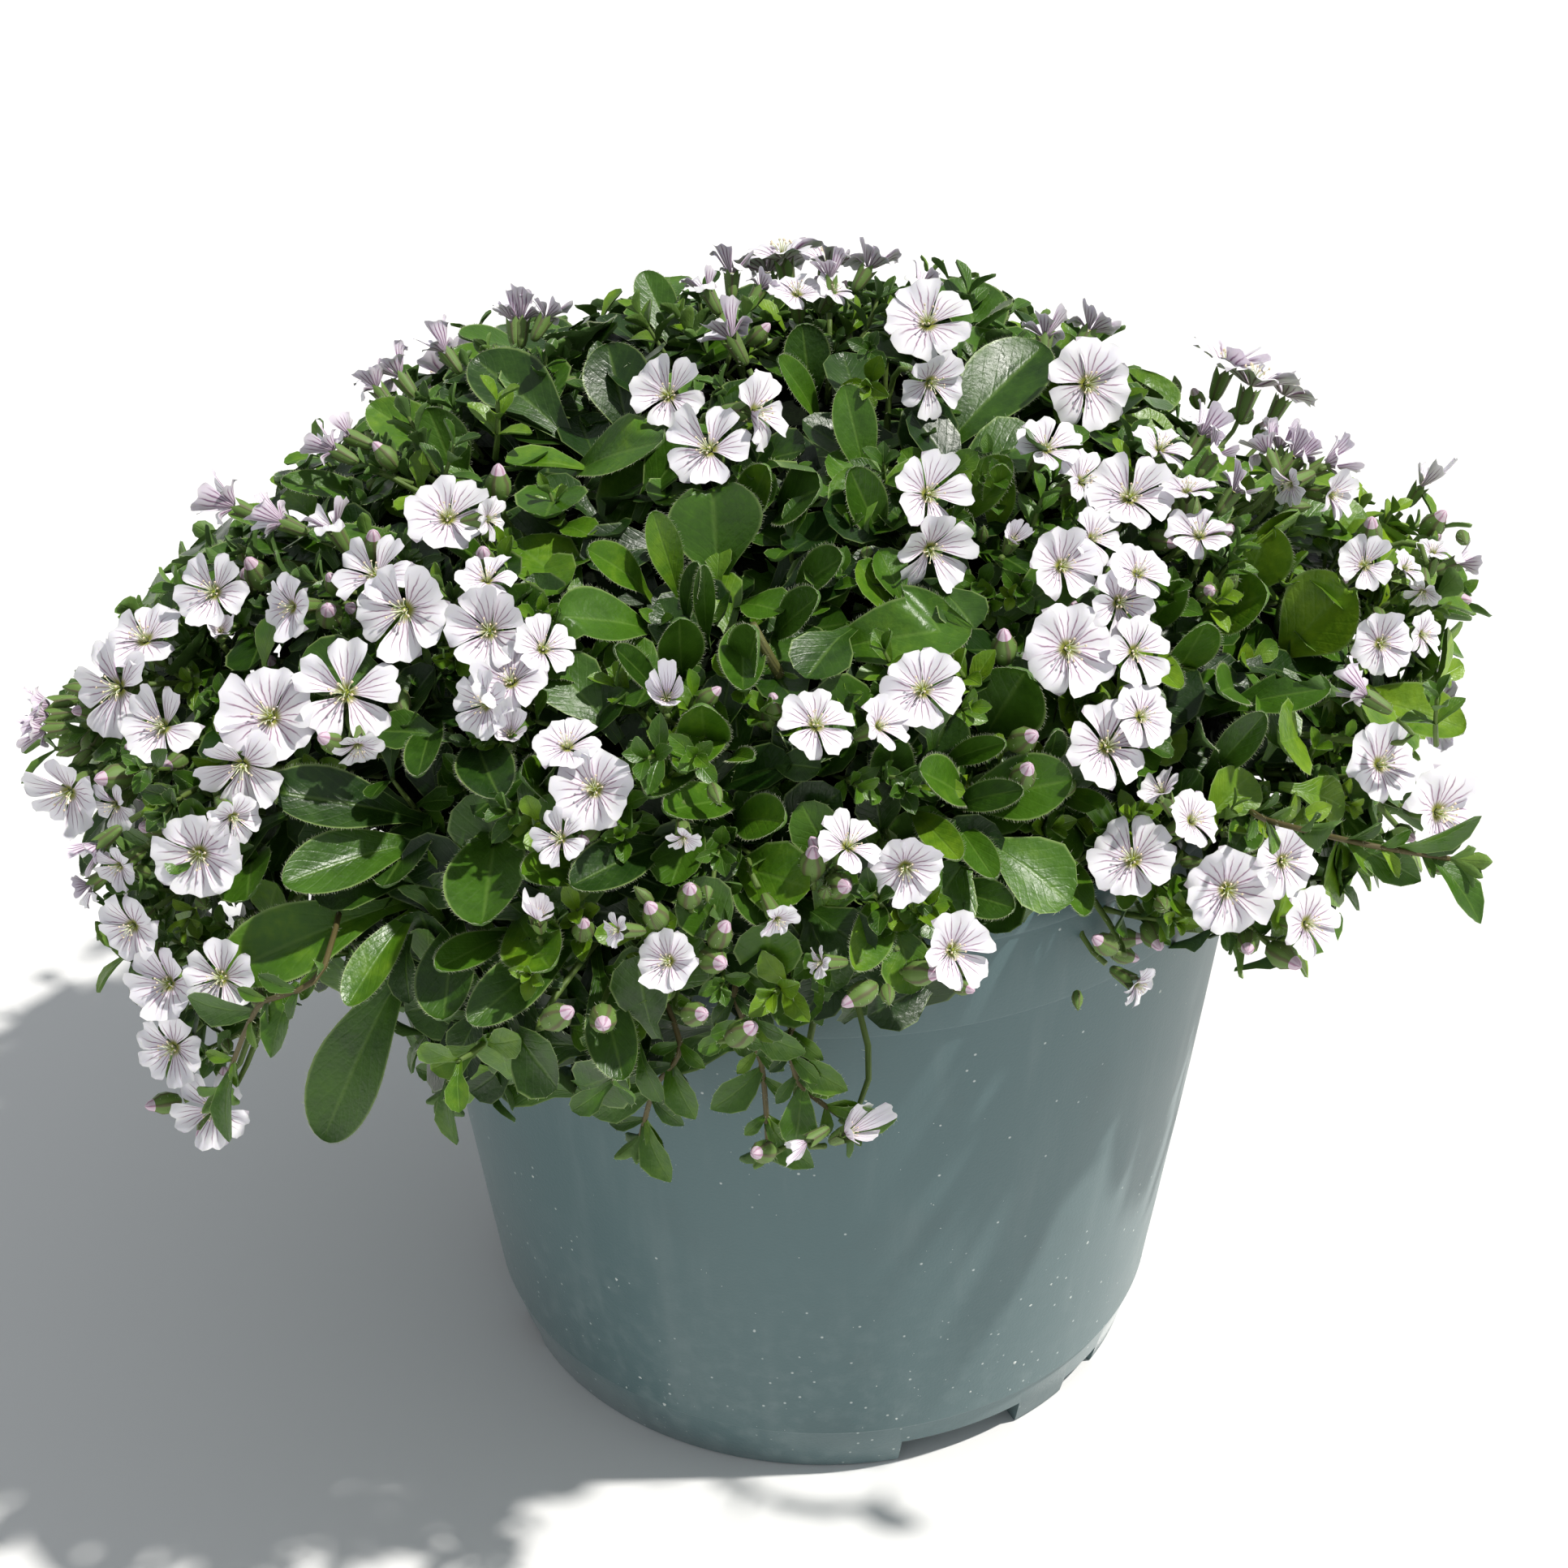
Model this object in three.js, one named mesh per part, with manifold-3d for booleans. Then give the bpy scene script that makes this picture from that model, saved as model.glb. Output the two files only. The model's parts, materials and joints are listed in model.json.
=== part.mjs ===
// Potted Gypsophila cerastioides: a cushion of leaves and small white blooms in a grey nursery pot.
// Millimetres, +Z up, the front of the plant towards -Y, the origin under the middle of the pot.
import * as THREE from "three";
import { mergeVertices } from "three/addons/utils/BufferGeometryUtils.js";
import Module from "manifold-3d";

const wasm = await Module();
wasm.setup();

// Pot: a 13 cm moulded nursery pot
const rimRadius = 65;
const potHeight = 110;
const wallThickness = 1.5;
const lipHeight = 3.4;
const collarHeight = 17.4;
const collarStep = 0.5;
const footHeight = 9.4;
const footRadius = 51;
const footRingWidth = 4;
const basePlateUnderside = 7.4;
const basePlateThickness = 1.6;
const centrePadRadius = 16;
const potSegments = 32;
const drainHoles = { count: 5, radius: 4, ringRadius: 33, sides: 8 };
const footNotches = [
  { azimuth: -65, width: 20.5, height: 5 },
  { azimuth: -37, width: 9, height: 3.5 },
];
const footSymmetry = 3;

// Potting soil and the plain holes that the stems stand in
const soilLevel = 103;
const soilGap = 0.3;
const stemHole = { radius: 2.6, depth: 13 };
const crownStem = { radius: 2.2, count: 5, ringRadius: 26, sides: 6 };

// Leafy cushion: its radius every 30 degrees from +X towards +Y, its height, and how far its skirt hangs
const mound = {
  middle: 104,
  height: 65,
  drop: 70,
  radii: [104, 102, 99, 98, 104, 114, 121, 118, 100, 84, 74, 92],
};
// Crowded middle of the cushion, as shares of the mound's radius at each height, with a crumpled surface
const core = {
  segments: 16,
  plugRadius: 40,
  plugBottom: 105.4,
  underside: 112.8,
  rings: [[0.78, 112.8], [0.8, 118], [0.74, 130], [0.6, 141], [0.36, 150]],
  top: 155,
  crumpleSeed: 71,
  crumple: 5,
};
// What grows out of the cushion is rooted at this share of its size, or over the rim near the underside
const rooting = { level: 0.74, overRim: 0.76, insideRim: 8, band: 6, rise: 2.2 };

// The view of the photograph: where the camera stands, where it looks, and its focal length in pixels
const view = {
  eye: new THREE.Vector3(0, -407, 350.4),
  target: new THREE.Vector3(-5.9, 0, 93),
  roll: THREE.MathUtils.degToRad(-0.4),
  focal: 3878,
  frame: 1932,
};

const petal = { thickness: 0.7, tipSpread: 21, cleft: 0.42, cleftRise: 0.08, tipRise: 0.2 };
const cup = { thickness: 1.2, tipReach: 0.75, tipRise: 0.85, cleft: 0.5, cleftRise: 0.55 };
const calyx = { length: 5, mouthRadius: 1.9, neckRadius: 0.7, stemRadius: 0.6, sides: 3 };
const bud = { length: 5.5, radius: 2.2, tipRadius: 0.6, belly: 0.45, sides: 3 };
// A leaf blade: shares of its length along it, and shares of its half width across it
const blade = {
  thickness: 0.7,
  rootHalf: 0.7,
  arch: 0.1,
  fold: 0.16,
  middle: 0.64,
  widest: 0.62,
  shoulder: { along: 0.55, half: 0.88, rise: 1 },
  cheek: { along: 0.86, half: 0.8, rise: 0.7 },
};
const clearance = 0.3;
const touching = 0.001;
// Edges shorter than this, which joins and cuts leave behind, close up
const joinTolerance = 0.05;
// A bloom smaller than this has one point a petal
const smallBloomRadius = 5.4;
const bloomSeed = 5;
const shootSeed = 50;
// How far a bloom may move along the line of sight to meet its neighbour, and the contact that it needs
const meeting = { reach: 10, step: 0.5, contact: 0.05, nearness: 0.98, price: 0.15 };
// Bunches and single blooms that have nodes of their own; the smallest singles grow fused to the crown
const bloomNodes = 51;
// A bunch has this many stalks, on its first blooms; its other stalks are left to the fine model
const stalksInBunch = 1;

// Blooms that the photograph shows: throat x and y, width, all in its pixels, then the clock hour that the
// bloom leans to and how many degrees it leans away from the eye
const openBlooms = [
  [262, 729, 98, 10, 30], [358, 748, 82, 9, 52], [177, 786, 104, 11, 48], [143, 848, 124, 9, 38],
  [199, 895, 104, 10, 34], [332, 883, 124, 10, 24], [426, 853, 134, 12, 10], [497, 752, 124, 9, 18],
  [461, 708, 104, 11, 34], [298, 945, 108, 7, 34], [441, 921, 66, 6, 58], [83, 978, 106, 8, 42],
  [141, 993, 72, 8, 50], [245, 1053, 112, 7, 20], [288, 1008, 74, 5, 40], [146, 1068, 62, 8, 60],
  [162, 1142, 88, 8, 44], [206, 1212, 96, 9, 38], [272, 1205, 98, 9, 16], [212, 1292, 96, 8, 30],
  [262, 1368, 98, 8, 20], [552, 636, 104, 12, 30], [603, 640, 60, 3, 58], [602, 777, 104, 10, 16],
  [600, 713, 78, 12, 48], [670, 798, 84, 1, 30], [629, 839, 92, 11, 34], [596, 868, 88, 9, 44],
  [699, 918, 84, 12, 40], [732, 972, 104, 10, 15], [823, 486, 94, 11, 24], [873, 552, 108, 11, 24],
  [933, 507, 102, 3, 62], [982, 360, 74, 12, 58], [1028, 358, 50, 1, 60], [1143, 396, 112, 12, 34],
  [1148, 472, 90, 4, 38], [1145, 608, 104, 2, 24], [1148, 678, 106, 4, 34], [1341, 473, 114, 3, 20],
  [1290, 551, 86, 1, 44], [1334, 592, 82, 2, 56], [1392, 611, 112, 12, 30], [1430, 551, 80, 1, 56],
  [1463, 603, 70, 12, 64], [1478, 658, 84, 12, 48], [1309, 697, 92, 2, 20], [1347, 663, 74, 2, 48],
  [1380, 742, 94, 3, 34], [1403, 705, 78, 1, 40], [1317, 799, 116, 3, 18], [1399, 803, 92, 3, 28],
  [1365, 919, 110, 2, 24], [1407, 882, 84, 2, 34], [1588, 597, 56, 8, 56], [1642, 610, 66, 3, 58],
  [1682, 696, 72, 1, 20], [1732, 700, 52, 2, 56], [1766, 679, 46, 12, 58], [1753, 730, 48, 6, 48],
  [1702, 793, 80, 3, 24], [1753, 782, 58, 3, 56], [1702, 941, 98, 2, 34], [1775, 1001, 118, 3, 46],
  [1513, 1097, 110, 4, 20], [1582, 1061, 92, 3, 38], [1612, 1138, 92, 3, 46], [1006, 892, 96, 1, 28],
  [1137, 849, 104, 12, 15], [1084, 894, 70, 2, 48], [690, 1033, 76, 10, 28], [842, 1034, 46, 6, 50],
  [1046, 1041, 90, 1, 38], [1116, 1070, 94, 5, 28], [1175, 1171, 98, 3, 28], [760, 1146, 46, 9, 56],
  [823, 1184, 78, 9, 20], [958, 1134, 54, 5, 58], [1010, 1186, 44, 9, 56], [1395, 1058, 108, 11, 24],
  [1470, 1010, 76, 2, 46], [1431, 974, 56, 11, 56], [1402, 1214, 58, 4, 66],
];
// Blooms seen from behind, with their purple undersides to the eye
const turnedBlooms = [
  [56, 884, 62, 9, 106], [119, 1043, 56, 8, 106], [109, 1093, 52, 8, 104], [642, 390, 70, 12, 106],
  [546, 430, 56, 11, 106], [490, 460, 66, 11, 108], [426, 536, 64, 10, 108], [897, 412, 84, 11, 96],
  [902, 333, 62, 12, 110], [939, 353, 52, 1, 108], [1022, 338, 60, 12, 104], [1072, 327, 66, 1, 106],
  [1287, 411, 66, 12, 110], [1345, 404, 72, 1, 112], [1482, 534, 62, 1, 106], [1523, 603, 64, 1, 104],
  [1560, 554, 64, 11, 104], [1596, 559, 60, 1, 106], [1637, 571, 60, 2, 106], [1800, 692, 54, 2, 104],
  [1680, 855, 66, 10, 98], [285, 622, 70, 10, 100], [408, 646, 84, 11, 84],
];
// Half-opened, cup-shaped blooms
const cupBlooms = [
  [272, 777, 46, 12, 20], [629, 905, 58, 12, 24], [1249, 664, 44, 1, 30], [821, 860, 66, 12, 22],
  [663, 1129, 54, 12, 30], [1046, 1395, 66, 2, 40], [1753, 596, 50, 1, 70], [992, 1408, 38, 8, 70],
];
// Buds: x, y, then the hour and degrees of lean
const budSpots = [
  [703, 1245, 2, 40], [743, 1264, 6, 20], [868, 1249, 3, 30], [929, 1264, 2, 40], [891, 1188, 4, 30],
  [1044, 1092, 3, 20], [1156, 1200, 3, 50], [929, 1421, 9, 30], [1237, 778, 12, 50], [1349, 1156, 10, 40],
  [1779, 632, 1, 60], [404, 749, 12, 20], [614, 575, 12, 60], [182, 1363, 9, 70],
];
// Large leaves: base x and y, tip x and y, width, all in pixels of the photograph
const largeLeaves = [
  [478, 1120, 272, 1205, 98], [482, 1245, 396, 1404, 96], [560, 1010, 606, 1136, 106],
  [476, 1120, 430, 1240, 56], [520, 1150, 548, 1256, 80], [470, 1040, 330, 985, 84],
  [478, 1060, 345, 1080, 80], [596, 1150, 668, 1200, 84], [478, 880, 520, 955, 48],
  [520, 905, 600, 990, 74], [965, 808, 1196, 762, 92], [868, 712, 870, 592, 120],
  [1150, 548, 1286, 424, 100], [1236, 925, 1262, 826, 104], [686, 525, 585, 440, 92],
  [748, 520, 745, 424, 84], [640, 560, 815, 545, 96], [508, 590, 535, 500, 70],
  [790, 770, 690, 762, 84], [935, 615, 1012, 592, 92], [1085, 585, 1030, 478, 58],
  [1172, 1010, 1322, 968, 84], [1215, 1015, 1135, 960, 62], [1190, 1020, 1215, 1085, 44],
  [1160, 1105, 1250, 1118, 52], [1650, 812, 1668, 722, 108], [1715, 850, 1808, 892, 72],
  [1540, 770, 1560, 720, 86], [1590, 860, 1500, 846, 64], [1600, 720, 1572, 648, 84],
  [1540, 985, 1565, 885, 46], [1465, 775, 1450, 712, 44], [1500, 830, 1478, 768, 60],
  [826, 1058, 700, 1086, 68], [888, 1080, 944, 1150, 58], [700, 1290, 770, 1330, 66],
  [905, 735, 905, 850, 60], [560, 590, 455, 498, 70], [820, 400, 790, 335, 50],
  [1180, 640, 1240, 560, 60], [700, 1110, 640, 1070, 60], [880, 900, 840, 950, 60],
  [1000, 460, 985, 400, 60], [640, 1000, 690, 930, 50], [310, 660, 240, 690, 40],
  [420, 600, 345, 585, 44], [640, 415, 560, 405, 48], [1210, 400, 1245, 375, 46],
  [1600, 1005, 1520, 1050, 50], [600, 1250, 545, 1200, 50],
];
// Trailing shoots: where each leaves the soil, and the pixels that it runs through outside the pot,
// each with how far it lies outside the pot's rim in millimetres
const trailingShoots = [
  { azimuth: -98, run: [[905, 1225, 12], [938, 1310, 10], [946, 1405, 9]], leaves: 3 },
  { azimuth: -88, run: [[975, 1270, 11], [985, 1335, 12], [1036, 1376, 13]], leaves: 3 },
  { azimuth: -112, run: [[838, 1285, 11], [806, 1340, 11], [790, 1398, 10]], leaves: 3 },
  { azimuth: -163, run: [[400, 1190, 38], [318, 1240, 44], [276, 1340, 46]], leaves: 3 },
  { azimuth: -30, run: [[1560, 1010, 20], [1680, 1040, 34], [1786, 1058, 42]], leaves: 4 },
  { azimuth: -128, run: [[600, 1235, 12], [565, 1290, 12], [548, 1345, 10]], leaves: 3 },
];
const shoot = {
  radius: 0.75,
  sides: 3,
  soilRadius: 54,
  overRim: 111.4,
  reachOfStalk: 16,
  leaf: { width: 4.4, sunk: 0.4, side: [6, 2], onward: [4, 3], outward: [2, 2] },
};

// What the rule adds: bunches of blooms on the side that the photograph hides, and leaves all over
const hiddenBunches = {
  count: 5,
  blooms: 3,
  seed: 11,
  firstAzimuth: 18,
  lastAzimuth: 162,
  lowest: -0.3,
  highest: 0.8,
  width: 13,
  spread: 6,
};
const smallLeaves = { count: 14, seed: 23, width: 7.5, sweep: 11, clearOf: 0.3 };
const hiddenLeaves = { count: 22, seed: 37, width: 11, sweep: 15, clearOf: 4 };
// Leaves that hang below the cushion's edge on the side that the photograph hides
const skirtLeaves = {
  count: 15,
  seed: 29,
  firstAzimuth: 12,
  lastAzimuth: 200,
  reach: 0.94,
  width: 11,
  lowest: 95,
  rise: 9,
  clearOf: 4,
};

const colours = {
  pot: 0x6b7c7e,
  soil: 0x2c211a,
  leaf: 0x3f6b22,
  shoot: 0x55702c,
  petal: 0xf1edf5,
};

const up = new THREE.Vector3(0, 0, 1);
const degrees = THREE.MathUtils.degToRad;

// Seeded random numbers between 0 and 1
function randomStream(seed) {
  let state = seed >>> 0;
  return () => {
    state = (state + 0x6d2b79f5) >>> 0;
    let mixed = Math.imul(state ^ (state >>> 15), state | 1);
    mixed = (mixed + Math.imul(mixed ^ (mixed >>> 7), mixed | 61)) ^ mixed;
    return ((mixed ^ (mixed >>> 14)) >>> 0) / 4294967296;
  };
}

// The solid of a closed three.js geometry
function asSolid(geometry) {
  const bare = geometry.index ? geometry.clone() : geometry;
  bare.deleteAttribute("normal");
  bare.deleteAttribute("uv");
  const merged = mergeVertices(bare, 1e-5);
  return new wasm.Manifold(new wasm.Mesh({
    numProp: 3,
    vertProperties: new Float32Array(merged.attributes.position.array),
    triVerts: new Uint32Array(merged.index.array),
  }));
}

// The solid of points and triangles, with its faces turned outwards
function facesToSolid(points, triangles) {
  let volume = 0;
  for (const [a, b, c] of triangles) {
    volume += points[a].dot(new THREE.Vector3().crossVectors(points[b], points[c]));
  }
  const index = triangles.flatMap(([a, b, c]) => (volume > 0 ? [a, b, c] : [a, c, b]));
  const geometry = new THREE.BufferGeometry().setFromPoints(points);
  geometry.setIndex(index);
  return asSolid(geometry);
}

// A thin slab: a fan of triangles round its first point, repeated at a steady depth below
function fanSlab(centre, outline, depth) {
  const topPoints = [centre, ...outline];
  const points = [...topPoints, ...topPoints.map((point) => point.clone().add(depth))];
  const under = topPoints.length;
  const triangles = [];
  outline.forEach((point, i) => {
    const a = i + 1;
    const b = (i + 1) % outline.length + 1;
    triangles.push([0, a, b], [under, under + b, under + a]);
    triangles.push([a, under + a, under + b], [a, under + b, b]);
  });
  return facesToSolid(points, triangles);
}

// A closed tube through the rings, each with a centre and a radius
function loft(rings, sides) {
  const points = [];
  // Each ring's direction across is carried on from the ring before, so that the tube doesn't twist
  let across = null;
  rings.forEach((ring, i) => {
    const before = rings[Math.max(i - 1, 0)].centre;
    const after = rings[Math.min(i + 1, rings.length - 1)].centre;
    const along = after.clone().sub(before).normalize();
    across = across ? across.addScaledVector(along, -across.dot(along)).normalize() : sideways(along);
    const third = new THREE.Vector3().crossVectors(along, across);
    for (let k = 0; k < sides; k += 1) {
      const turn = (2 * Math.PI * k) / sides;
      points.push(ring.centre.clone()
        .addScaledVector(across, Math.cos(turn) * ring.radius)
        .addScaledVector(third, Math.sin(turn) * ring.radius));
    }
  });
  const triangles = [];
  for (let i = 0; i + 1 < rings.length; i += 1) {
    for (let k = 0; k < sides; k += 1) {
      const a = i * sides + k;
      const b = i * sides + (k + 1) % sides;
      triangles.push([a, b, b + sides], [a, b + sides, a + sides]);
    }
  }
  const last = (rings.length - 1) * sides;
  for (let k = 1; k + 1 < sides; k += 1) {
    triangles.push([0, k + 1, k], [last, last + k, last + k + 1]);
  }
  return facesToSolid(points, triangles);
}

// A level direction across the given one
function sideways(along) {
  const across = new THREE.Vector3().crossVectors(along, up);
  return across.lengthSq() < 0.01 ? new THREE.Vector3(1, 0, 0) : across.normalize();
}

function polar(azimuth, radius, z) {
  return new THREE.Vector3(radius * Math.cos(azimuth), radius * Math.sin(azimuth), z);
}

// Radius of the cushion at an azimuth in radians
function moundRadius(azimuth) {
  const step = Math.PI / 6;
  const place = (((azimuth / step) % 12) + 12) % 12;
  const first = Math.floor(place) % 12;
  const share = (1 - Math.cos((place - Math.floor(place)) * Math.PI)) / 2;
  return mound.radii[first] * (1 - share) + mound.radii[(first + 1) % 12] * share;
}

// 1 on the cushion's surface, less inside it
function moundLevel(point) {
  const radius = moundRadius(Math.atan2(point.y, point.x));
  const rise = point.z - mound.middle;
  const reach = rise > 0 ? mound.height : mound.drop;
  return Math.sqrt((point.x ** 2 + point.y ** 2) / radius ** 2 + (rise / reach) ** 2);
}

function outwards(point) {
  const radius = moundRadius(Math.atan2(point.y, point.x));
  const rise = point.z - mound.middle;
  const reach = rise > 0 ? mound.height : mound.drop;
  return new THREE.Vector3(point.x / radius ** 2, point.y / radius ** 2, rise / reach ** 2).normalize();
}

// The camera's own directions
const forward = view.target.clone().sub(view.eye).normalize();
const rightward = new THREE.Vector3().crossVectors(forward, up).normalize();
const upward = new THREE.Vector3().crossVectors(rightward, forward);

// Direction of sight through a pixel
function sightLine(pixelX, pixelY) {
  const dx = pixelX - view.frame / 2;
  const dy = pixelY - view.frame / 2;
  const x = Math.cos(view.roll) * dx + Math.sin(view.roll) * dy;
  const y = Math.cos(view.roll) * dy - Math.sin(view.roll) * dx;
  return forward.clone()
    .addScaledVector(rightward, x / view.focal)
    .addScaledVector(upward, -y / view.focal)
    .normalize();
}

// Where the line of sight through a pixel first meets the cushion at the given level, or passes nearest
function castOnMound(pixelX, pixelY, level) {
  const sight = sightLine(pixelX, pixelY);
  const at = (distance) => view.eye.clone().addScaledVector(sight, distance);
  let best = 250;
  for (let distance = 250; distance < 650; distance += 1) {
    const here = moundLevel(at(distance));
    if (here <= level) {
      return at(distance);
    }
    if (here < moundLevel(at(best))) {
      best = distance;
    }
  }
  return at(best);
}

// Where the line of sight through a pixel meets an upright surface outside the pot's rim
function castOutsidePot(pixelX, pixelY, distanceOut) {
  const sight = sightLine(pixelX, pixelY);
  for (let distance = 250; distance < 650; distance += 0.5) {
    const point = view.eye.clone().addScaledVector(sight, distance);
    if (Math.hypot(point.x, point.y) <= rimRadius + distanceOut) {
      return point;
    }
  }
  throw new Error("the line of sight misses the pot");
}

// The direction that leans from the eye towards a clock hour of the picture
function facing(point, hour, lean) {
  const toEye = view.eye.clone().sub(point).normalize();
  const across = new THREE.Vector3().crossVectors(up, toEye).normalize();
  const above = new THREE.Vector3().crossVectors(toEye, across);
  const turn = degrees(hour * 30);
  return toEye.multiplyScalar(Math.cos(degrees(lean)))
    .addScaledVector(across, Math.sin(degrees(lean)) * Math.sin(turn))
    .addScaledVector(above, Math.sin(degrees(lean)) * Math.cos(turn));
}

function pixelsToMillimetres(point, pixels) {
  const depth = point.clone().sub(view.eye).dot(forward);
  return (pixels * depth) / view.focal;
}

// The bloom's petals as one star-shaped slab of the given radius, grown by the given margin on all sides
function bloomSolid(bloom, margin) {
  const shape = bloom.cupped ? cup : petal;
  const reach = bloom.cupped ? cup.tipReach : 1;
  const across = sideways(bloom.normal).applyAxisAngle(bloom.normal, bloom.turn);
  const third = new THREE.Vector3().crossVectors(bloom.normal, across);
  const top = bloom.centre.clone().addScaledVector(bloom.normal, margin);
  const place = (angle, radius, rise) => top.clone()
    .addScaledVector(across, Math.cos(angle) * (radius + margin))
    .addScaledVector(third, Math.sin(angle) * (radius + margin))
    .addScaledVector(bloom.normal, rise);
  const outline = [];
  for (let k = 0; k < 5; k += 1) {
    const middle = (2 * Math.PI * k) / 5;
    const cleftAngle = middle - Math.PI / 5;
    outline.push(place(cleftAngle, bloom.radius * shape.cleft, bloom.radius * shape.cleftRise));
    if (bloom.cupped || bloom.radius < smallBloomRadius) {
      outline.push(place(middle, bloom.radius * reach, bloom.radius * shape.tipRise));
    } else {
      for (const side of [-1, 1]) {
        const angle = middle + side * degrees(petal.tipSpread);
        outline.push(place(angle, bloom.radius, bloom.radius * shape.tipRise));
      }
    }
  }
  const depth = bloom.normal.clone().multiplyScalar(-shape.thickness - 2 * margin);
  return fanSlab(top, outline, depth);
}

// Blooms that the photograph shows, cast on the cushion along their lines of sight
function photographedBlooms() {
  const random = randomStream(bloomSeed);
  const rows = [
    ...openBlooms.map((row) => [...row, false]),
    ...turnedBlooms.map((row) => [...row, false]),
    ...cupBlooms.map((row) => [...row, true]),
  ];
  return rows.map(([x, y, width, hour, lean, cupped]) => {
    const centre = castOnMound(x, y, 1);
    return {
      centre,
      normal: facing(centre, hour, lean),
      radius: pixelsToMillimetres(centre, width) / 2,
      turn: random() * 2 * Math.PI,
      cupped,
      slide: sightLine(x, y),
    };
  });
}

// Bunches of blooms on the side away from the eye, spread by the golden angle
function hiddenBlooms() {
  const random = randomStream(hiddenBunches.seed);
  const golden = Math.PI * (3 - Math.sqrt(5));
  const list = [];
  for (let i = 0; i < hiddenBunches.count; i += 1) {
    const share = ((i * golden) / (2 * Math.PI)) % 1;
    const span = hiddenBunches.lastAzimuth - hiddenBunches.firstAzimuth;
    const azimuth = degrees(hiddenBunches.firstAzimuth + span * share);
    const { lowest, highest } = hiddenBunches;
    const height = lowest + ((highest - lowest) * (i + 0.5)) / hiddenBunches.count;
    const rise = height > 0 ? height * mound.height : height * mound.drop;
    const radius = moundRadius(azimuth) * Math.sqrt(1 - height * height);
    const middle = polar(azimuth, radius, mound.middle + rise);
    const out = outwards(middle);
    const east = sideways(out);
    const north = new THREE.Vector3().crossVectors(east, out);
    for (let k = 0; k < hiddenBunches.blooms; k += 1) {
      const turn = (2 * Math.PI * k) / hiddenBunches.blooms + i;
      const jitter = new THREE.Vector3(random() - 0.5, random() - 0.5, random() - 0.3);
      list.push({
        centre: middle.clone()
          .addScaledVector(east, Math.cos(turn) * hiddenBunches.spread)
          .addScaledVector(north, Math.sin(turn) * hiddenBunches.spread),
        normal: out.clone().addScaledVector(jitter, 0.6).normalize(),
        radius: (hiddenBunches.width / 2) * (0.85 + 0.3 * random()),
        turn: random() * 2 * Math.PI,
        cupped: false,
        slide: out.clone(),
      });
    }
  }
  return list;
}

// Each bloom in turn slides along its own line until it meets a neighbour that is already placed
function settle(blooms) {
  const placed = [];
  blooms.forEach((bloom) => {
    const near = placed.filter((other) => {
      const between = other.centre.clone().sub(bloom.centre);
      between.addScaledVector(bloom.slide, -between.dot(bloom.slide));
      return between.length() < meeting.nearness * (bloom.radius + other.radius);
    });
    const start = bloom.centre;
    const choices = [];
    for (let shift = -meeting.reach; shift <= meeting.reach; shift += meeting.step) {
      const centre = start.clone().addScaledVector(bloom.slide, shift);
      const solid = bloomSolid({ ...bloom, centre }, 0);
      const depth = near.reduce((sum, other) => sum + solid.intersect(other.solid).volume(), 0);
      choices.push({ centre, solid, cost: depth + meeting.price * Math.abs(shift), depth });
    }
    const meetings = choices.filter((choice) => choice.depth > meeting.contact);
    const still = choices.filter((choice) => choice.centre.distanceTo(start) < meeting.step / 2);
    const best = (meetings.length > 0 ? meetings : still)
      .reduce((least, choice) => (choice.cost < least.cost ? choice : least));
    bloom.centre = best.centre;
    bloom.solid = best.solid;
    placed.push(bloom);
  });
}

// Route of a trailing shoot: up out of the soil, over the rim, and down through its pixels
function shootRoute(row) {
  const azimuth = degrees(row.azimuth);
  const start = [
    polar(azimuth, shoot.soilRadius, soilLevel - stemHole.depth + 1),
    polar(azimuth, shoot.soilRadius, soilLevel + 2),
    polar(azimuth, rimRadius - 4, shoot.overRim),
    polar(azimuth, rimRadius + 2.5, shoot.overRim),
  ];
  return [...start, ...row.run.map(([x, y, out]) => castOutsidePot(x, y, out))];
}

// A leaf blade from a root sunk in what carries it, through its base to its tip
function leafSolid(root, tip, width, face, broad) {
  const along = tip.clone().sub(root);
  const side = new THREE.Vector3().crossVectors(along, face).normalize();
  const normal = new THREE.Vector3().crossVectors(side, along).normalize();
  const place = (share, offset, rise) => root.clone()
    .addScaledVector(along, share)
    .addScaledVector(side, offset)
    .addScaledVector(normal, rise);
  const half = width / 2;
  const arch = along.length() * blade.arch;
  const corner = (mark, sign) => place(mark.along, sign * half * mark.half, arch * mark.rise);
  const centre = place(blade.middle, 0, arch - blade.fold * half);
  const outline = [place(0, -blade.rootHalf, 0)];
  if (broad) {
    outline.push(corner(blade.shoulder, -1), corner(blade.cheek, -1), place(1, 0, 0));
    outline.push(corner(blade.cheek, 1), corner(blade.shoulder, 1));
  } else {
    outline.push(place(blade.widest, -half, arch), place(1, 0, 0), place(blade.widest, half, arch));
  }
  outline.push(place(0, blade.rootHalf, 0));
  return fanSlab(centre, outline, normal.clone().multiplyScalar(-blade.thickness));
}

// Root of what grows out of the cushion at a point: sunk in its woody middle
function rootInCore(point) {
  const azimuth = Math.atan2(point.y, point.x);
  if (point.z < core.underside + rooting.band) {
    const radius = Math.max(rooting.overRim * moundRadius(azimuth), rimRadius - rooting.insideRim);
    return polar(azimuth, radius, core.underside + rooting.rise);
  }
  const middle = new THREE.Vector3(0, 0, mound.middle);
  const root = point.clone().sub(middle);
  root.multiplyScalar(rooting.level / moundLevel(point));
  root.add(middle);
  root.z = Math.max(root.z, core.underside + rooting.rise);
  return root;
}

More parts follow.
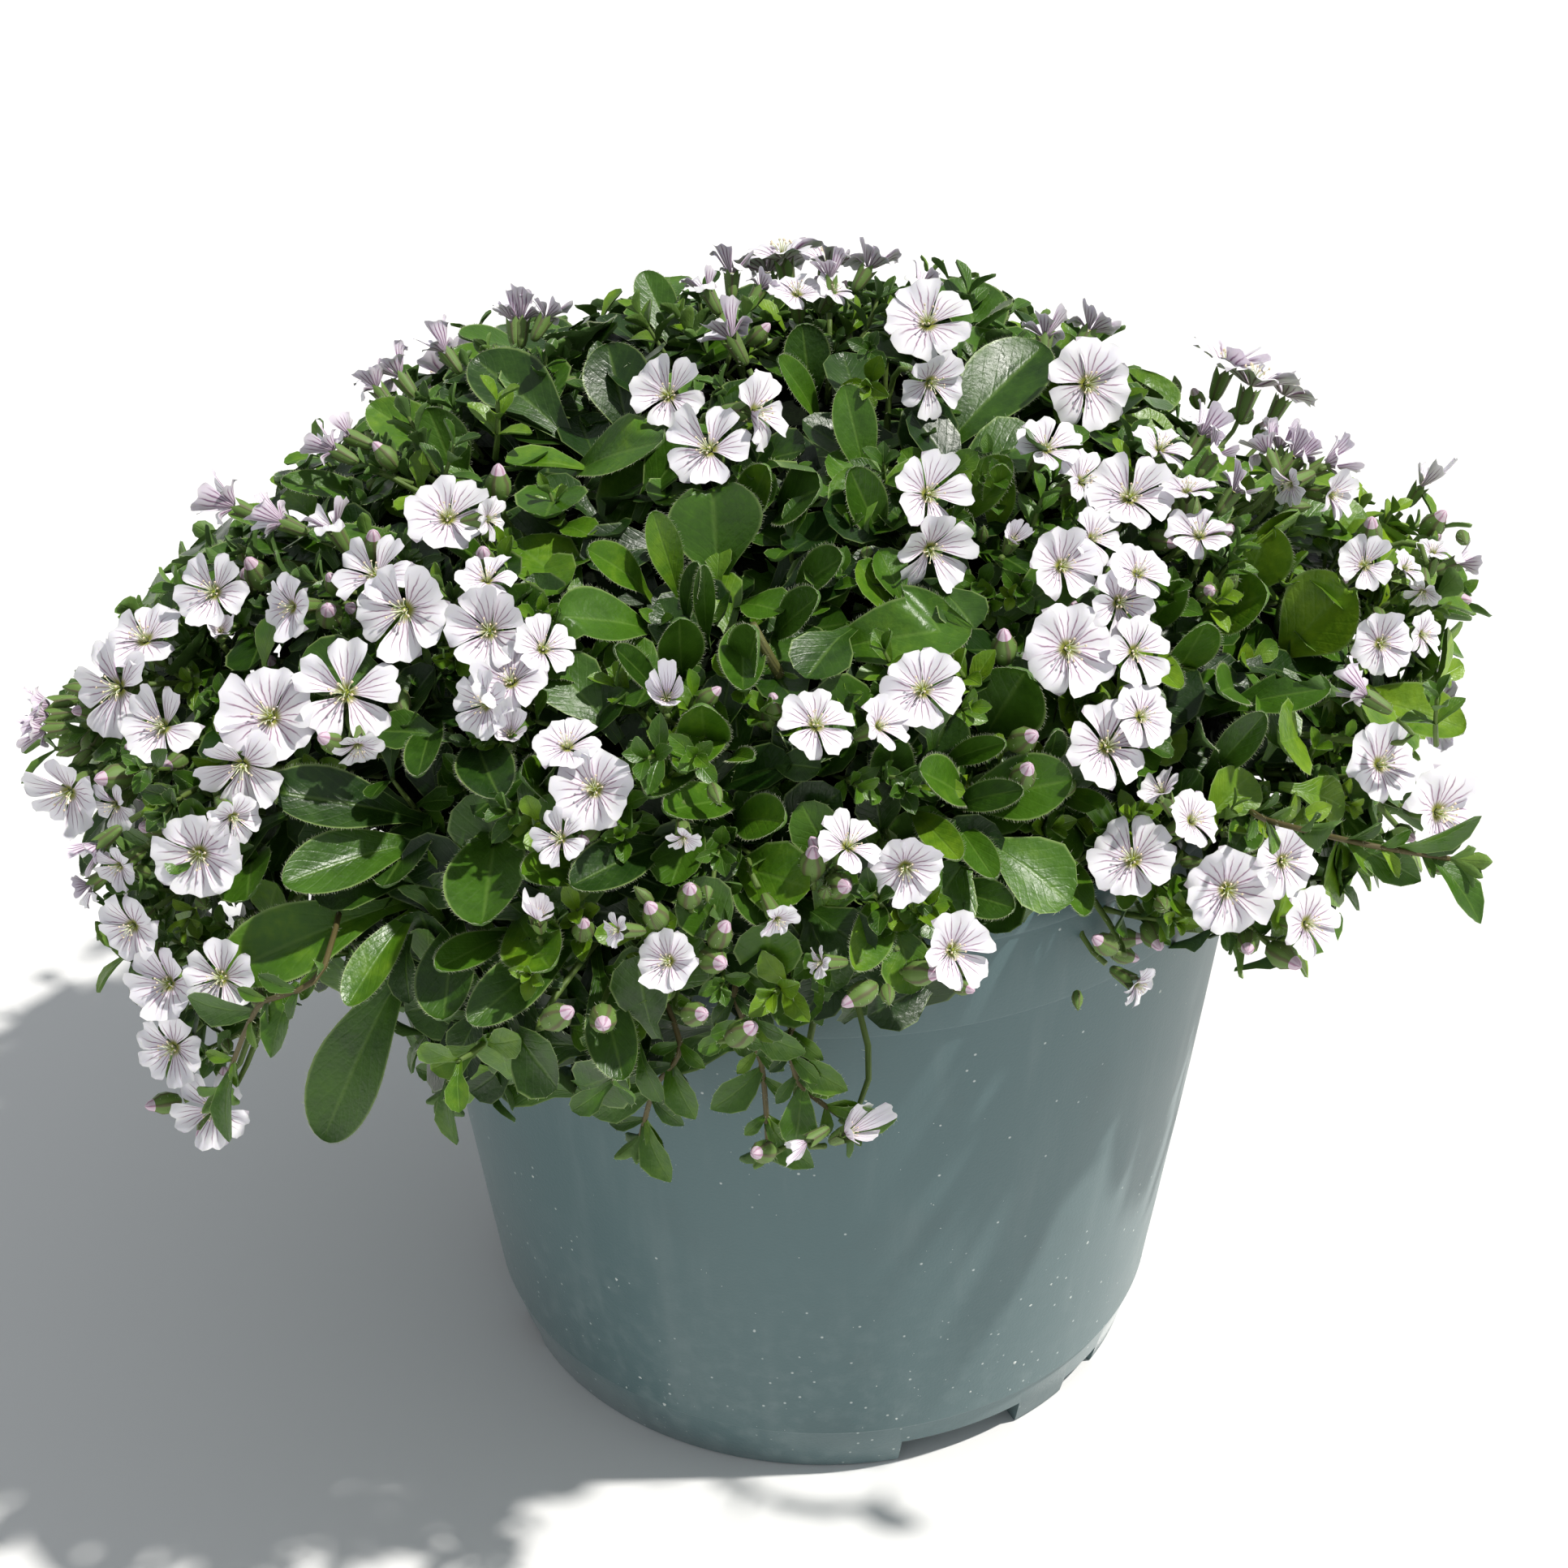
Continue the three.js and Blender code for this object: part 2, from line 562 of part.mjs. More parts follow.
// The point of the trailing shoots nearest to a point, when one is within reach
function rootOnShoot(point, routes) {
  let best = null;
  let bestDistance = shoot.reachOfStalk;
  routes.forEach((route, which) => {
    for (let i = 4; i + 1 < route.length; i += 1) {
      for (let share = 0; share <= 1; share += 0.25) {
        const place = route[i].clone().lerp(route[i + 1], share);
        const distance = place.distanceTo(point);
        if (distance < bestDistance) {
          best = { place, which };
          bestDistance = distance;
        }
      }
    }
  });
  return point.z < rimRadius + 37 ? best : null;
}

// A stalk with its bell-shaped calyx, ending just under the bloom, or in it where the two are fused
function stalkWithCalyx(bloom, root) {
  const shape = bloom.cupped ? cup : petal;
  const gap = bloom.fused ? -shape.thickness / 2 : clearance + 0.02;
  const mouth = bloom.centre.clone().addScaledVector(bloom.normal, -shape.thickness - gap);
  const neck = mouth.clone().addScaledVector(bloom.normal, -calyx.length);
  return loft([
    { centre: root, radius: calyx.stemRadius },
    { centre: neck, radius: calyx.neckRadius },
    { centre: mouth, radius: calyx.mouthRadius },
  ], calyx.sides);
}

function budOnStalk(tip, normal, root) {
  const base = tip.clone().addScaledVector(normal, -bud.length);
  return loft([
    { centre: root, radius: calyx.stemRadius },
    { centre: base, radius: calyx.neckRadius },
    { centre: tip.clone().lerp(base, bud.belly), radius: bud.radius },
    { centre: tip, radius: bud.tipRadius },
  ], bud.sides);
}

// Blooms that meet, joined into bunches, with the largest bunch first
function bunchesOf(blooms) {
  const bunches = blooms.map((bloom) => ({ members: [bloom], solid: bloom.solid }));
  for (let i = 0; i < bunches.length; i += 1) {
    for (let j = bunches.length - 1; j > i; j -= 1) {
      if (overlap(bunches[i].solid, bunches[j].solid) > touching) {
        bunches[i].solid = bunches[i].solid.add(bunches[j].solid);
        bunches[i].members.push(...bunches[j].members);
        bunches.splice(j, 1);
        j = bunches.length;
      }
    }
  }
  const size = (bunch) => bunch.members.reduce((sum, bloom) => sum + bloom.radius ** 2, 0);
  return bunches.sort((one, other) => size(other) - size(one));
}

function overlap(one, other) {
  return boxesMeet(one.boundingBox(), other.boundingBox()) ? one.intersect(other).volume() : 0;
}

function boxesMeet(one, other) {
  return [0, 1, 2].every((k) => one.min[k] <= other.max[k] && other.min[k] <= one.max[k]);
}

// The largest body of a solid; loose scraps that a cut leaves are dropped
function largestBody(solid) {
  return solid.decompose().reduce((best, body) => (body.volume() > best.volume() ? body : best));
}

function latheSolid(profile, segments) {
  const geometry = new THREE.LatheGeometry(profile.map(([r, z]) => new THREE.Vector2(r, z)), segments);
  geometry.rotateX(Math.PI / 2);
  return asSolid(geometry);
}

function uprightCylinder(radius, bottom, top, x, y, sides) {
  const geometry = new THREE.CylinderGeometry(radius, radius, top - bottom, sides);
  geometry.rotateX(Math.PI / 2);
  geometry.translate(x, y, (top + bottom) / 2);
  return asSolid(geometry);
}

// Outer wall of the pot from the foot to the rim
function wallRadius(z) {
  const collarBottom = potHeight - collarHeight;
  const wall = [[footHeight, 53.7], [14, 54.2], [20, 55], [30, 56.2], [42, 57.8], [collarBottom, 64]];
  for (let i = 0; i + 1 < wall.length; i += 1) {
    if (z <= wall[i + 1][0]) {
      const share = (z - wall[i][0]) / (wall[i + 1][0] - wall[i][0]);
      return wall[i][1] * (1 - share) + wall[i + 1][1] * share;
    }
  }
  return rimRadius - collarStep;
}

function potSolid() {
  const collarBottom = potHeight - collarHeight;
  const plateTop = basePlateUnderside + basePlateThickness;
  const footInner = footRadius - footRingWidth;
  const profile = [
    [0, 0], [centrePadRadius, 0], [centrePadRadius + 1, basePlateUnderside],
    [footInner - 1, basePlateUnderside], [footInner, 0],
    [footRadius, 0], [wallRadius(footHeight) - 0.5, footHeight - 0.3],
    [wallRadius(footHeight), footHeight], [wallRadius(20), 20],
    [wallRadius(42), 42], [wallRadius(collarBottom), collarBottom],
    [rimRadius - collarStep, collarBottom + collarStep],
    [rimRadius - 0.3, potHeight - lipHeight], [rimRadius, potHeight - lipHeight + 0.3],
    [rimRadius, potHeight], [rimRadius - wallThickness, potHeight],
    [wallRadius(42) - wallThickness, 42],
    [wallRadius(14) - wallThickness - 3, plateTop], [0, plateTop],
  ];
  let pot = latheSolid(profile, potSegments);
  for (let turn = 0; turn < footSymmetry; turn += 1) {
    for (const notch of footNotches) {
      const cutter = new THREE.BoxGeometry(14, notch.width, notch.height * 2);
      cutter.translate(footRadius, 0, 0);
      cutter.rotateZ(degrees(notch.azimuth + (360 / footSymmetry) * turn));
      pot = pot.subtract(asSolid(cutter));
    }
  }
  for (let i = 0; i < drainHoles.count; i += 1) {
    const place = polar((2 * Math.PI * i) / drainHoles.count, drainHoles.ringRadius, 0);
    pot = pot.subtract(uprightCylinder(
      drainHoles.radius, -1, plateTop + 1, place.x, place.y, drainHoles.sides,
    ));
  }
  return pot;
}

// Where the crown's stems stand in the soil
function crownStemPlaces() {
  const places = [new THREE.Vector3(0, 0, 0)];
  for (let i = 1; i < crownStem.count; i += 1) {
    places.push(polar((2 * Math.PI * i) / (crownStem.count - 1) + 0.4, crownStem.ringRadius, 0));
  }
  return places;
}

function soilSolid() {
  const bottom = basePlateUnderside + basePlateThickness + soilGap;
  const inner = (z) => wallRadius(z) - wallThickness - soilGap;
  const profile = [
    [0, bottom], [inner(14) - 3.4, bottom], [inner(42), 42.3],
    [rimRadius - wallThickness - 1.2, soilLevel], [0, soilLevel + 1],
  ];
  let soil = latheSolid(profile, potSegments);
  const places = [
    ...crownStemPlaces(),
    ...trailingShoots.map((row) => polar(degrees(row.azimuth), shoot.soilRadius, 0)),
  ];
  places.forEach((place, i) => {
    const radius = i < crownStem.count ? stemHole.radius : shoot.radius + 0.5;
    const hole = uprightCylinder(radius, soilLevel - stemHole.depth, soilLevel + 3, place.x, place.y, 8);
    soil = soil.subtract(hole);
  });
  return soil;
}

// The crowded middle: a low crumpled dome over the rim, a plug over the soil, and stems down into it
function coreSolid() {
  const random = randomStream(core.crumpleSeed);
  const points = [new THREE.Vector3(0, 0, core.plugBottom)];
  const rings = [
    (azimuth) => polar(azimuth, core.plugRadius, core.plugBottom),
    (azimuth) => polar(azimuth, core.plugRadius + 6, core.underside),
    ...core.rings.map(([share, z]) => (azimuth) => polar(azimuth, share * moundRadius(azimuth), z)),
  ];
  rings.forEach((ring, i) => {
    for (let k = 0; k < core.segments; k += 1) {
      const point = ring((2 * Math.PI * k) / core.segments);
      const swell = random() * core.crumple;
      points.push(i > 2 ? point.addScaledVector(outwards(point), swell) : point);
    }
  });
  points.push(new THREE.Vector3(0, 0, core.top));
  const triangles = [];
  for (let k = 0; k < core.segments; k += 1) {
    const next = (k + 1) % core.segments;
    triangles.push([0, 1 + next, 1 + k]);
    for (let i = 0; i + 1 < rings.length; i += 1) {
      const a = 1 + i * core.segments;
      const b = a + core.segments;
      triangles.push([a + k, a + next, b + next], [a + k, b + next, b + k]);
    }
    const last = 1 + (rings.length - 1) * core.segments;
    triangles.push([last + k, last + next, points.length - 1]);
  }
  const stems = crownStemPlaces().map((place) => uprightCylinder(
    crownStem.radius, soilLevel - stemHole.depth + 1, core.plugBottom + 3, place.x, place.y, crownStem.sides,
  ));
  return wasm.Manifold.union([facesToSolid(points, triangles), ...stems]);
}

// Large leaves where the photograph shows them
function photographedLeaves() {
  return largeLeaves.map(([baseX, baseY, tipX, tipY, width]) => {
    const base = castOnMound(baseX, baseY, 0.88);
    const tip = castOnMound(tipX, tipY, 0.99);
    const face = outwards(tip).add(facing(tip, 12, 20).multiplyScalar(0.8));
    return leafSolid(base.lerp(rootInCore(base), 0.8), tip, pixelsToMillimetres(tip, width), face, true);
  });
}

// Leaves spread over the cushion by the golden angle, each lying to one side
function spreadLeaves(rule, firstAzimuth, lastAzimuth, broad) {
  const random = randomStream(rule.seed);
  const golden = Math.PI * (3 - Math.sqrt(5));
  const list = [];
  for (let i = 0; i < rule.count; i += 1) {
    const share = ((i * golden) / (2 * Math.PI)) % 1;
    const azimuth = degrees(firstAzimuth + (lastAzimuth - firstAzimuth) * share);
    const height = -0.1 + 1.08 * (i + 0.5) / rule.count;
    const level = polar(azimuth, moundRadius(azimuth) * Math.sqrt(1 - height * height), 0);
    const base = level.clone().setZ(mound.middle + height * mound.height);
    const turn = (random() - 0.5) * 2 * Math.PI;
    const out = outwards(base);
    const east = sideways(out);
    const north = new THREE.Vector3().crossVectors(east, out);
    const sweep = east.multiplyScalar(Math.sin(turn)).addScaledVector(north, Math.cos(turn));
    const scale = 0.8 + 0.4 * random();
    const tip = base.clone().addScaledVector(sweep, rule.sweep * scale).addScaledVector(out, -0.5);
    const root = rootInCore(base);
    const face = out.clone().addScaledVector(sweep, 0.2);
    if (tip.z > potHeight - 8) {
      list.push(leafSolid(root, tip, rule.width * scale, face, broad));
    }
  }
  return list;
}

// Leaves that hang out over the edge of the cushion, where its skirt shows from behind and from below
function hangingLeaves() {
  const random = randomStream(skirtLeaves.seed);
  const list = [];
  for (let i = 0; i < skirtLeaves.count; i += 1) {
    const share = (i + random()) / skirtLeaves.count;
    const span = skirtLeaves.lastAzimuth - skirtLeaves.firstAzimuth;
    const azimuth = degrees(skirtLeaves.firstAzimuth + span * share);
    const reach = moundRadius(azimuth) * skirtLeaves.reach * (0.94 + 0.1 * random());
    const tip = polar(azimuth, reach, skirtLeaves.lowest + skirtLeaves.rise * random());
    const face = outwards(tip).addScaledVector(up, 0.8);
    list.push(leafSolid(rootInCore(tip), tip, skirtLeaves.width * (0.85 + 0.3 * random()), face, false));
  }
  return list;
}

// Leaves in pairs along a trailing shoot
function shootLeaves(row, route, seed) {
  const random = randomStream(seed);
  const list = [];
  for (let i = 0; i < row.leaves; i += 1) {
    const place = 4 + ((i + 0.6) / row.leaves) * (route.length - 5);
    const first = Math.min(Math.floor(place), route.length - 2);
    const root = route[first].clone().lerp(route[first + 1], place - first);
    const along = route[first + 1].clone().sub(route[first]).normalize();
    const out = polar(Math.atan2(root.y, root.x), 1, 0);
    const side = new THREE.Vector3().crossVectors(along, out).normalize();
    const sign = i % 2 ? 1 : -1;
    const { leaf } = shoot;
    const tip = root.clone()
      .addScaledVector(side, sign * (leaf.side[0] + leaf.side[1] * random()))
      .addScaledVector(along, leaf.onward[0] + leaf.onward[1] * random())
      .addScaledVector(out, leaf.outward[0] + leaf.outward[1] * random());
    list.push(leafSolid(root.addScaledVector(side, -sign * leaf.sunk), tip, leaf.width, out, false));
  }
  return list;
}

function trailingShoot(row, route, index, stalks) {
  const stem = loft(route.map((centre) => ({ centre, radius: shoot.radius })), shoot.sides);
  return wasm.Manifold.union([stem, ...shootLeaves(row, route, shootSeed + index), ...stalks]);
}

function meshOf(name, solid, colour, roughness) {
  const { vertProperties, triVerts } = largestBody(solid.setTolerance(joinTolerance)).getMesh();
  const geometry = new THREE.BufferGeometry();
  geometry.setAttribute("position", new THREE.BufferAttribute(new Float32Array(vertProperties), 3));
  geometry.setIndex([...triVerts]);
  geometry.computeVertexNormals();
  const material = new THREE.MeshStandardMaterial({ color: colour, roughness, metalness: 0 });
  const mesh = new THREE.Mesh(geometry, material);
  mesh.name = name;
  return mesh;
}

function buildPlant() {
  const group = new THREE.Group();
  const pot = potSolid();
  const soil = soilSolid();
  group.add(meshOf("pot", pot, colours.pot, 0.6));
  group.add(meshOf("potting_soil", soil, colours.soil, 0.95));

  const blooms = [...photographedBlooms(), ...hiddenBlooms()];
  settle(blooms);
  const bunches = bunchesOf(blooms);
  bunches.slice(0, bloomNodes).forEach((bunch, i) => {
    group.add(meshOf(`blooms_${String(i + 1).padStart(2, "0")}`, bunch.solid, colours.petal, 0.55));
  });
  bunches.slice(bloomNodes).forEach((bunch) => bunch.members.forEach((bloom) => {
    bloom.fused = true;
  }));
  const guards = wasm.Manifold.union(
    blooms.filter((bloom) => !bloom.fused).map((bloom) => bloomSolid(bloom, clearance)),
  );

  const routes = trailingShoots.map(shootRoute);
  const stalks = { crown: [], shoots: routes.map(() => []) };
  const addStalk = (place, make) => {
    const near = rootOnShoot(place, routes);
    if (near) {
      stalks.shoots[near.which].push(make(near.place));
    } else {
      stalks.crown.push(make(rootInCore(place)));
    }
  };
  bunches.forEach((bunch) => bunch.members.slice(0, stalksInBunch).forEach((bloom) => {
    addStalk(bloom.centre, (root) => {
      const stalk = stalkWithCalyx(bloom, root);
      return bloom.fused ? stalk.add(bloom.solid) : stalk;
    });
  }));
  budSpots.forEach(([x, y, hour, lean]) => {
    const tip = castOnMound(x, y, 1);
    addStalk(tip, (root) => budOnStalk(tip, facing(tip, hour, lean), root));
  });

  const hard = wasm.Manifold.union([pot, soil]);
  let shootUnion = null;
  trailingShoots.forEach((row, i) => {
    const whole = trailingShoot(row, routes[i], i, stalks.shoots[i]).subtract(guards).subtract(hard);
    const solid = largestBody(shootUnion ? whole.subtract(shootUnion) : whole);
    shootUnion = shootUnion ? shootUnion.add(solid) : solid;
    group.add(meshOf(`trailing_shoot_${i + 1}`, solid, colours.shoot, 0.7));
  });

  const blocked = guards.add(shootUnion).add(hard);
  const grown = wasm.Manifold.union([...stalks.crown, ...photographedLeaves()]);
  const clearOnes = (list, rule) => list.filter((leaf) => (
    leaf.intersect(blocked).volume() < 0.02 && leaf.intersect(grown).volume() < rule.clearOf
  ));
  const leaves = [
    ...photographedLeaves(),
    ...clearOnes(spreadLeaves(smallLeaves, 165, 380, false), smallLeaves),
    ...clearOnes(spreadLeaves(hiddenLeaves, 10, 170, false), hiddenLeaves),
    ...clearOnes(hangingLeaves(), skirtLeaves),
  ];
  const crown = wasm.Manifold.union([coreSolid(), ...stalks.crown, ...leaves]).subtract(blocked);
  group.add(meshOf("crown_foliage", largestBody(crown), colours.leaf, 0.6));
  return group;
}

export default buildPlant();
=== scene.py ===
"""Potted Gypsophila cerastioides: a leafy cushion with small white blooms in a grey nursery pot.

Lengths are in millimetres until a mesh is made, which is in metres. +Z is up and -Y is the front.
"""

import json
import logging
import math
from dataclasses import dataclass, field
from enum import Enum
from typing import Sequence

import bpy
import numpy as np
from mathutils import Matrix, Vector, kdtree, noise

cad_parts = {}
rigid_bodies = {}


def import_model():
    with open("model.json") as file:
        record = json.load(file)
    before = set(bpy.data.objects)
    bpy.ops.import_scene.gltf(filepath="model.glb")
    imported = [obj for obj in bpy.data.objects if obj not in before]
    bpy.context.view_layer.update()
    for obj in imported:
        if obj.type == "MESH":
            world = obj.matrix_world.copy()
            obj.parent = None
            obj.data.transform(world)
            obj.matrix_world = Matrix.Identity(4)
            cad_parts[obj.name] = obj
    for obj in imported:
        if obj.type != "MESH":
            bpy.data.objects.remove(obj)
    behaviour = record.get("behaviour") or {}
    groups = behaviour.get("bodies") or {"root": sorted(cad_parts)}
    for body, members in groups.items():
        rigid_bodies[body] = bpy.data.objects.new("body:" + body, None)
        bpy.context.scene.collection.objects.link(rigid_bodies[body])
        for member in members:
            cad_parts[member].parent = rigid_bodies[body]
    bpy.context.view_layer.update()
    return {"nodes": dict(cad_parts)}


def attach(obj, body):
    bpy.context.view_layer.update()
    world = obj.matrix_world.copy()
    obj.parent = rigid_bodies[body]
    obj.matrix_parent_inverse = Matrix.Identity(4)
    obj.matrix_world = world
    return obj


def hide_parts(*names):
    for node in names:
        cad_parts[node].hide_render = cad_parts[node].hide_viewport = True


MM = 0.001
UP = Vector((0.0, 0.0, 1.0))
FULL_TURN = 2 * math.pi
GOLDEN = math.pi * (3 - math.sqrt(5))
log = logging.getLogger("gypsophila")
Colour = tuple[float, float, float]
Object = bpy.types.Object
Material = bpy.types.Material
Socket = bpy.types.NodeSocket
Tree = bpy.types.NodeTree


def srgb(red: float, green: float, blue: float) -> Colour:
    """Linear colour of an sRGB colour that is given from 0 to 255."""
    def linear(value: float) -> float:
        """One channel, made linear."""
        share = value / 255
        return share / 12.92 if share <= 0.04045 else ((share + 0.055) / 1.055) ** 2.4
    return (linear(red), linear(green), linear(blue))


class Draws:
    """Seeded random numbers between 0 and 1, the same in every run."""

    def __init__(self, seed: int) -> None:
        """Starts the stream at a seed."""
        self.state = seed & 0xFFFFFFFF

    def next(self) -> float:
        """The next number."""
        mask = 0xFFFFFFFF
        self.state = (self.state + 0x6D2B79F5) & mask
        mixed = ((self.state ^ (self.state >> 15)) * (self.state | 1)) & mask
        mixed = ((mixed + (((mixed ^ (mixed >> 7)) * (mixed | 61)) & mask)) & mask) ^ mixed
        return ((mixed ^ (mixed >> 14)) & mask) / 4294967296

    def between(self, low: float, high: float) -> float:
        """A number between two limits."""
        return low + (high - low) * self.next()

    def pick(self, count: int) -> int:
        """A whole number from 0 up to, but not including, count."""
        return min(int(self.next() * count), count - 1)

    def direction(self) -> Vector:
        """A random vector in a cube around zero."""
        return Vector((self.between(-1, 1), self.between(-1, 1), self.between(-1, 1)))


@dataclass(frozen=True)
class View:
    """The photograph's camera: where it stands, where it looks, its roll and its focal length in pixels."""

    eye: Vector = field(default_factory=lambda: Vector((0.0, -407.0, 350.4)))
    target: Vector = field(default_factory=lambda: Vector((-5.9, 0.0, 93.0)))
    roll: float = math.radians(-0.4)
    focal: float = 3878.0
    frame: float = 1932.0
    sensor: float = 36.0

    def axes(self) -> tuple[Vector, Vector, Vector]:
        """Forward, rightward and upward directions, before the roll."""
        forward = (self.target - self.eye).normalized()
        right = forward.cross(UP).normalized()
        return forward, right, right.cross(forward)

    def sight(self, pixel_x: float, pixel_y: float) -> Vector:
        """Direction of sight through a pixel."""
        forward, right, upward = self.axes()
        dx = pixel_x - self.frame / 2
        dy = pixel_y - self.frame / 2
        x = math.cos(self.roll) * dx + math.sin(self.roll) * dy
        y = math.cos(self.roll) * dy - math.sin(self.roll) * dx
        return (forward + right * (x / self.focal) - upward * (y / self.focal)).normalized()

    def pixel(self, point: Vector) -> tuple[float, float]:
        """The pixel that shows a point."""
        forward, right, upward = self.axes()
        ray = point - self.eye
        depth = ray.dot(forward)
        x = self.focal * ray.dot(right) / depth
        y = -self.focal * ray.dot(upward) / depth
        dx = math.cos(self.roll) * x - math.sin(self.roll) * y
        dy = math.sin(self.roll) * x + math.cos(self.roll) * y
        return self.frame / 2 + dx, self.frame / 2 + dy

    def millimetres(self, point: Vector, pixels: float) -> float:
        """How long a stretch of pixels is at a point's depth."""
        return pixels * (point - self.eye).dot(self.axes()[0]) / self.focal

    def facing(self, point: Vector, hour: float, lean: float) -> Vector:
        """The direction that leans from the eye towards a clock hour of the picture.

        Args:
            point: where the direction starts.
            hour: clock hour of the picture that the direction leans to.
            lean: degrees between the direction and the eye.
        Returns:
            A direction of length 1.
        """
        to_eye = (self.eye - point).normalized()
        across = UP.cross(to_eye).normalized()
        side = around(to_eye.cross(across), across, math.radians(hour * 30))
        return around(to_eye, side, math.radians(lean))

    def add_camera(self) -> None:
        """Puts the scene's camera at the photograph's place."""
        forward, right, upward = self.axes()
        data = bpy.data.cameras.new("photo_camera")
        data.sensor_width = self.sensor
        data.lens = self.focal / self.frame * self.sensor
        camera = bpy.data.objects.new("photo_camera", data)
        rows = (around(right, upward, self.roll), around(upward, -right, self.roll), -forward)
        turn = Matrix(rows).transposed().to_4x4()
        camera.matrix_world = Matrix.Translation(self.eye * MM) @ turn
        bpy.context.scene.collection.objects.link(camera)
        bpy.context.scene.camera = camera


@dataclass(frozen=True)
class Mound:
    """The leafy cushion: its radius every 30 degrees from +X towards +Y, its height and its hanging skirt."""

    middle: float = 104.0
    height: float = 65.0
    drop: float = 70.0
    radii: tuple[float, ...] = (104, 102, 99, 98, 104, 114, 121, 118, 100, 84, 74, 92)
    near: int = 250
    far: int = 650

    def radius(self, azimuth: float) -> float:
        """Radius at an azimuth in radians."""
        count = len(self.radii)
        place = (azimuth / FULL_TURN * count) % count
        first = int(place) % count
        share = (1 - math.cos((place - int(place)) * math.pi)) / 2
        return self.radii[first] * (1 - share) + self.radii[(first + 1) % count] * share

    def sizes_at(self, point: Vector) -> tuple[float, float, float]:
        """Radius at a point's azimuth, the point's rise over the middle, and the cushion's reach there."""
        rise = point.z - self.middle
        return self.radius(math.atan2(point.y, point.x)), rise, self.height if rise > 0 else self.drop

    def level(self, point: Vector) -> float:
        """1 on the cushion's surface, less inside it."""
        radius, rise, reach = self.sizes_at(point)
        return math.sqrt((point.x ** 2 + point.y ** 2) / radius ** 2 + (rise / reach) ** 2)

    def outwards(self, point: Vector) -> Vector:
        """Direction out of the cushion."""
        radius, rise, reach = self.sizes_at(point)
        return Vector((point.x / radius ** 2, point.y / radius ** 2, rise / reach ** 2)).normalized()

    def place(self, azimuth: float, height: float, level: float) -> Vector:
        """Point at an azimuth, a height from -1 to 1 and a level."""
        reach = self.height if height > 0 else self.drop
        flat = self.radius(azimuth) * math.sqrt(max(0.0, 1 - height * height))
        return polar(azimuth, flat * level, self.middle + height * reach * level)

    def cast(self, pixel_x: float, pixel_y: float, level: float) -> Vector:
        """Where the photograph's line of sight first meets the cushion at a level, or passes nearest.

        Args:
            pixel_x: the pixel's place across.
            pixel_y: the pixel's place down.
            level: level of the cushion that is met, 1 on its surface.
        Returns:
            The point.
        """
        sight = VIEW.sight(pixel_x, pixel_y)
        best = VIEW.eye + sight * self.near
        for distance in range(self.near, self.far):
            point = VIEW.eye + sight * distance
            if self.level(point) <= level:
                return point
            if self.level(point) < self.level(best):
                best = point
        return best


@dataclass(frozen=True)
class Pot:
    """Driving sizes of the moulded nursery pot."""

    rim_radius: float = 65.0
    height: float = 110.0
    wall: float = 1.5
    lip_height: float = 3.4
    collar_height: float = 17.4
    collar_step: float = 0.5
    foot_height: float = 9.4
    foot_radius: float = 51.0
    foot_ring: float = 4.0
    plate_underside: float = 7.4
    plate_thickness: float = 1.6
    pad_radius: float = 16.0
    segments: int = 192
    hole_count: int = 5
    hole_radius: float = 4.0
    hole_ring: float = 33.0
    foot_symmetry: int = 3
    notches: tuple[tuple[float, float, float], ...] = ((-65, 20.5, 5), (-37, 9, 3.5))

    def wall_radius(self, z: float) -> float:
        """Radius of the outer wall at a height."""
        heights = (self.foot_height, 14, 20, 30, 42, self.height - self.collar_height)
        radii = (53.7, 54.2, 55, 56.2, 57.8, 64)
        return float(np.interp(z, heights, radii))


@dataclass(frozen=True)
class Soil:
    """Driving sizes of the soil, and where the trailing shoots come out of it."""

    level: float = 103.0
    dome: float = 1.0
    gap: float = 0.3
    hole_depth: float = 13.0
    shoot_radius: float = 54.0
    over_rim: float = 111.4


@dataclass(frozen=True)
class Core:
    """The crowded core of the cushion, which everything grows out of."""

    underside: float = 112.8
    band: float = 6.0
    level: float = 0.74
    over_rim: float = 0.76
    inside_rim: float = 8.0
    rise: float = 2.2

    def root(self, point: Vector) -> Vector:
        """Root, sunk in the core, of what grows out of the cushion at a point."""
        azimuth = math.atan2(point.y, point.x)
        floor = self.underside + self.rise
        if point.z < self.underside + self.band:
            radius = max(self.over_rim * MOUND.radius(azimuth), POT.rim_radius - self.inside_rim)
            return polar(azimuth, radius, floor)
        middle = Vector((0.0, 0.0, MOUND.middle))
        root = middle + (point - middle) * (self.level / MOUND.level(point))
        root.z = max(root.z, floor)
        return root


VIEW = View()
MOUND = Mound()
POT = Pot()
SOIL = Soil()
CORE = Core()
PETAL_THICKNESS = 0.7
CALYX_LENGTH = 5.0
CROWN = ("crown_foliage",)
DROP_FACES = ((0, 1, 4), (1, 2, 4), (2, 3, 4), (3, 0, 4), (1, 0, 5), (2, 1, 5), (3, 2, 5), (0, 3, 5))

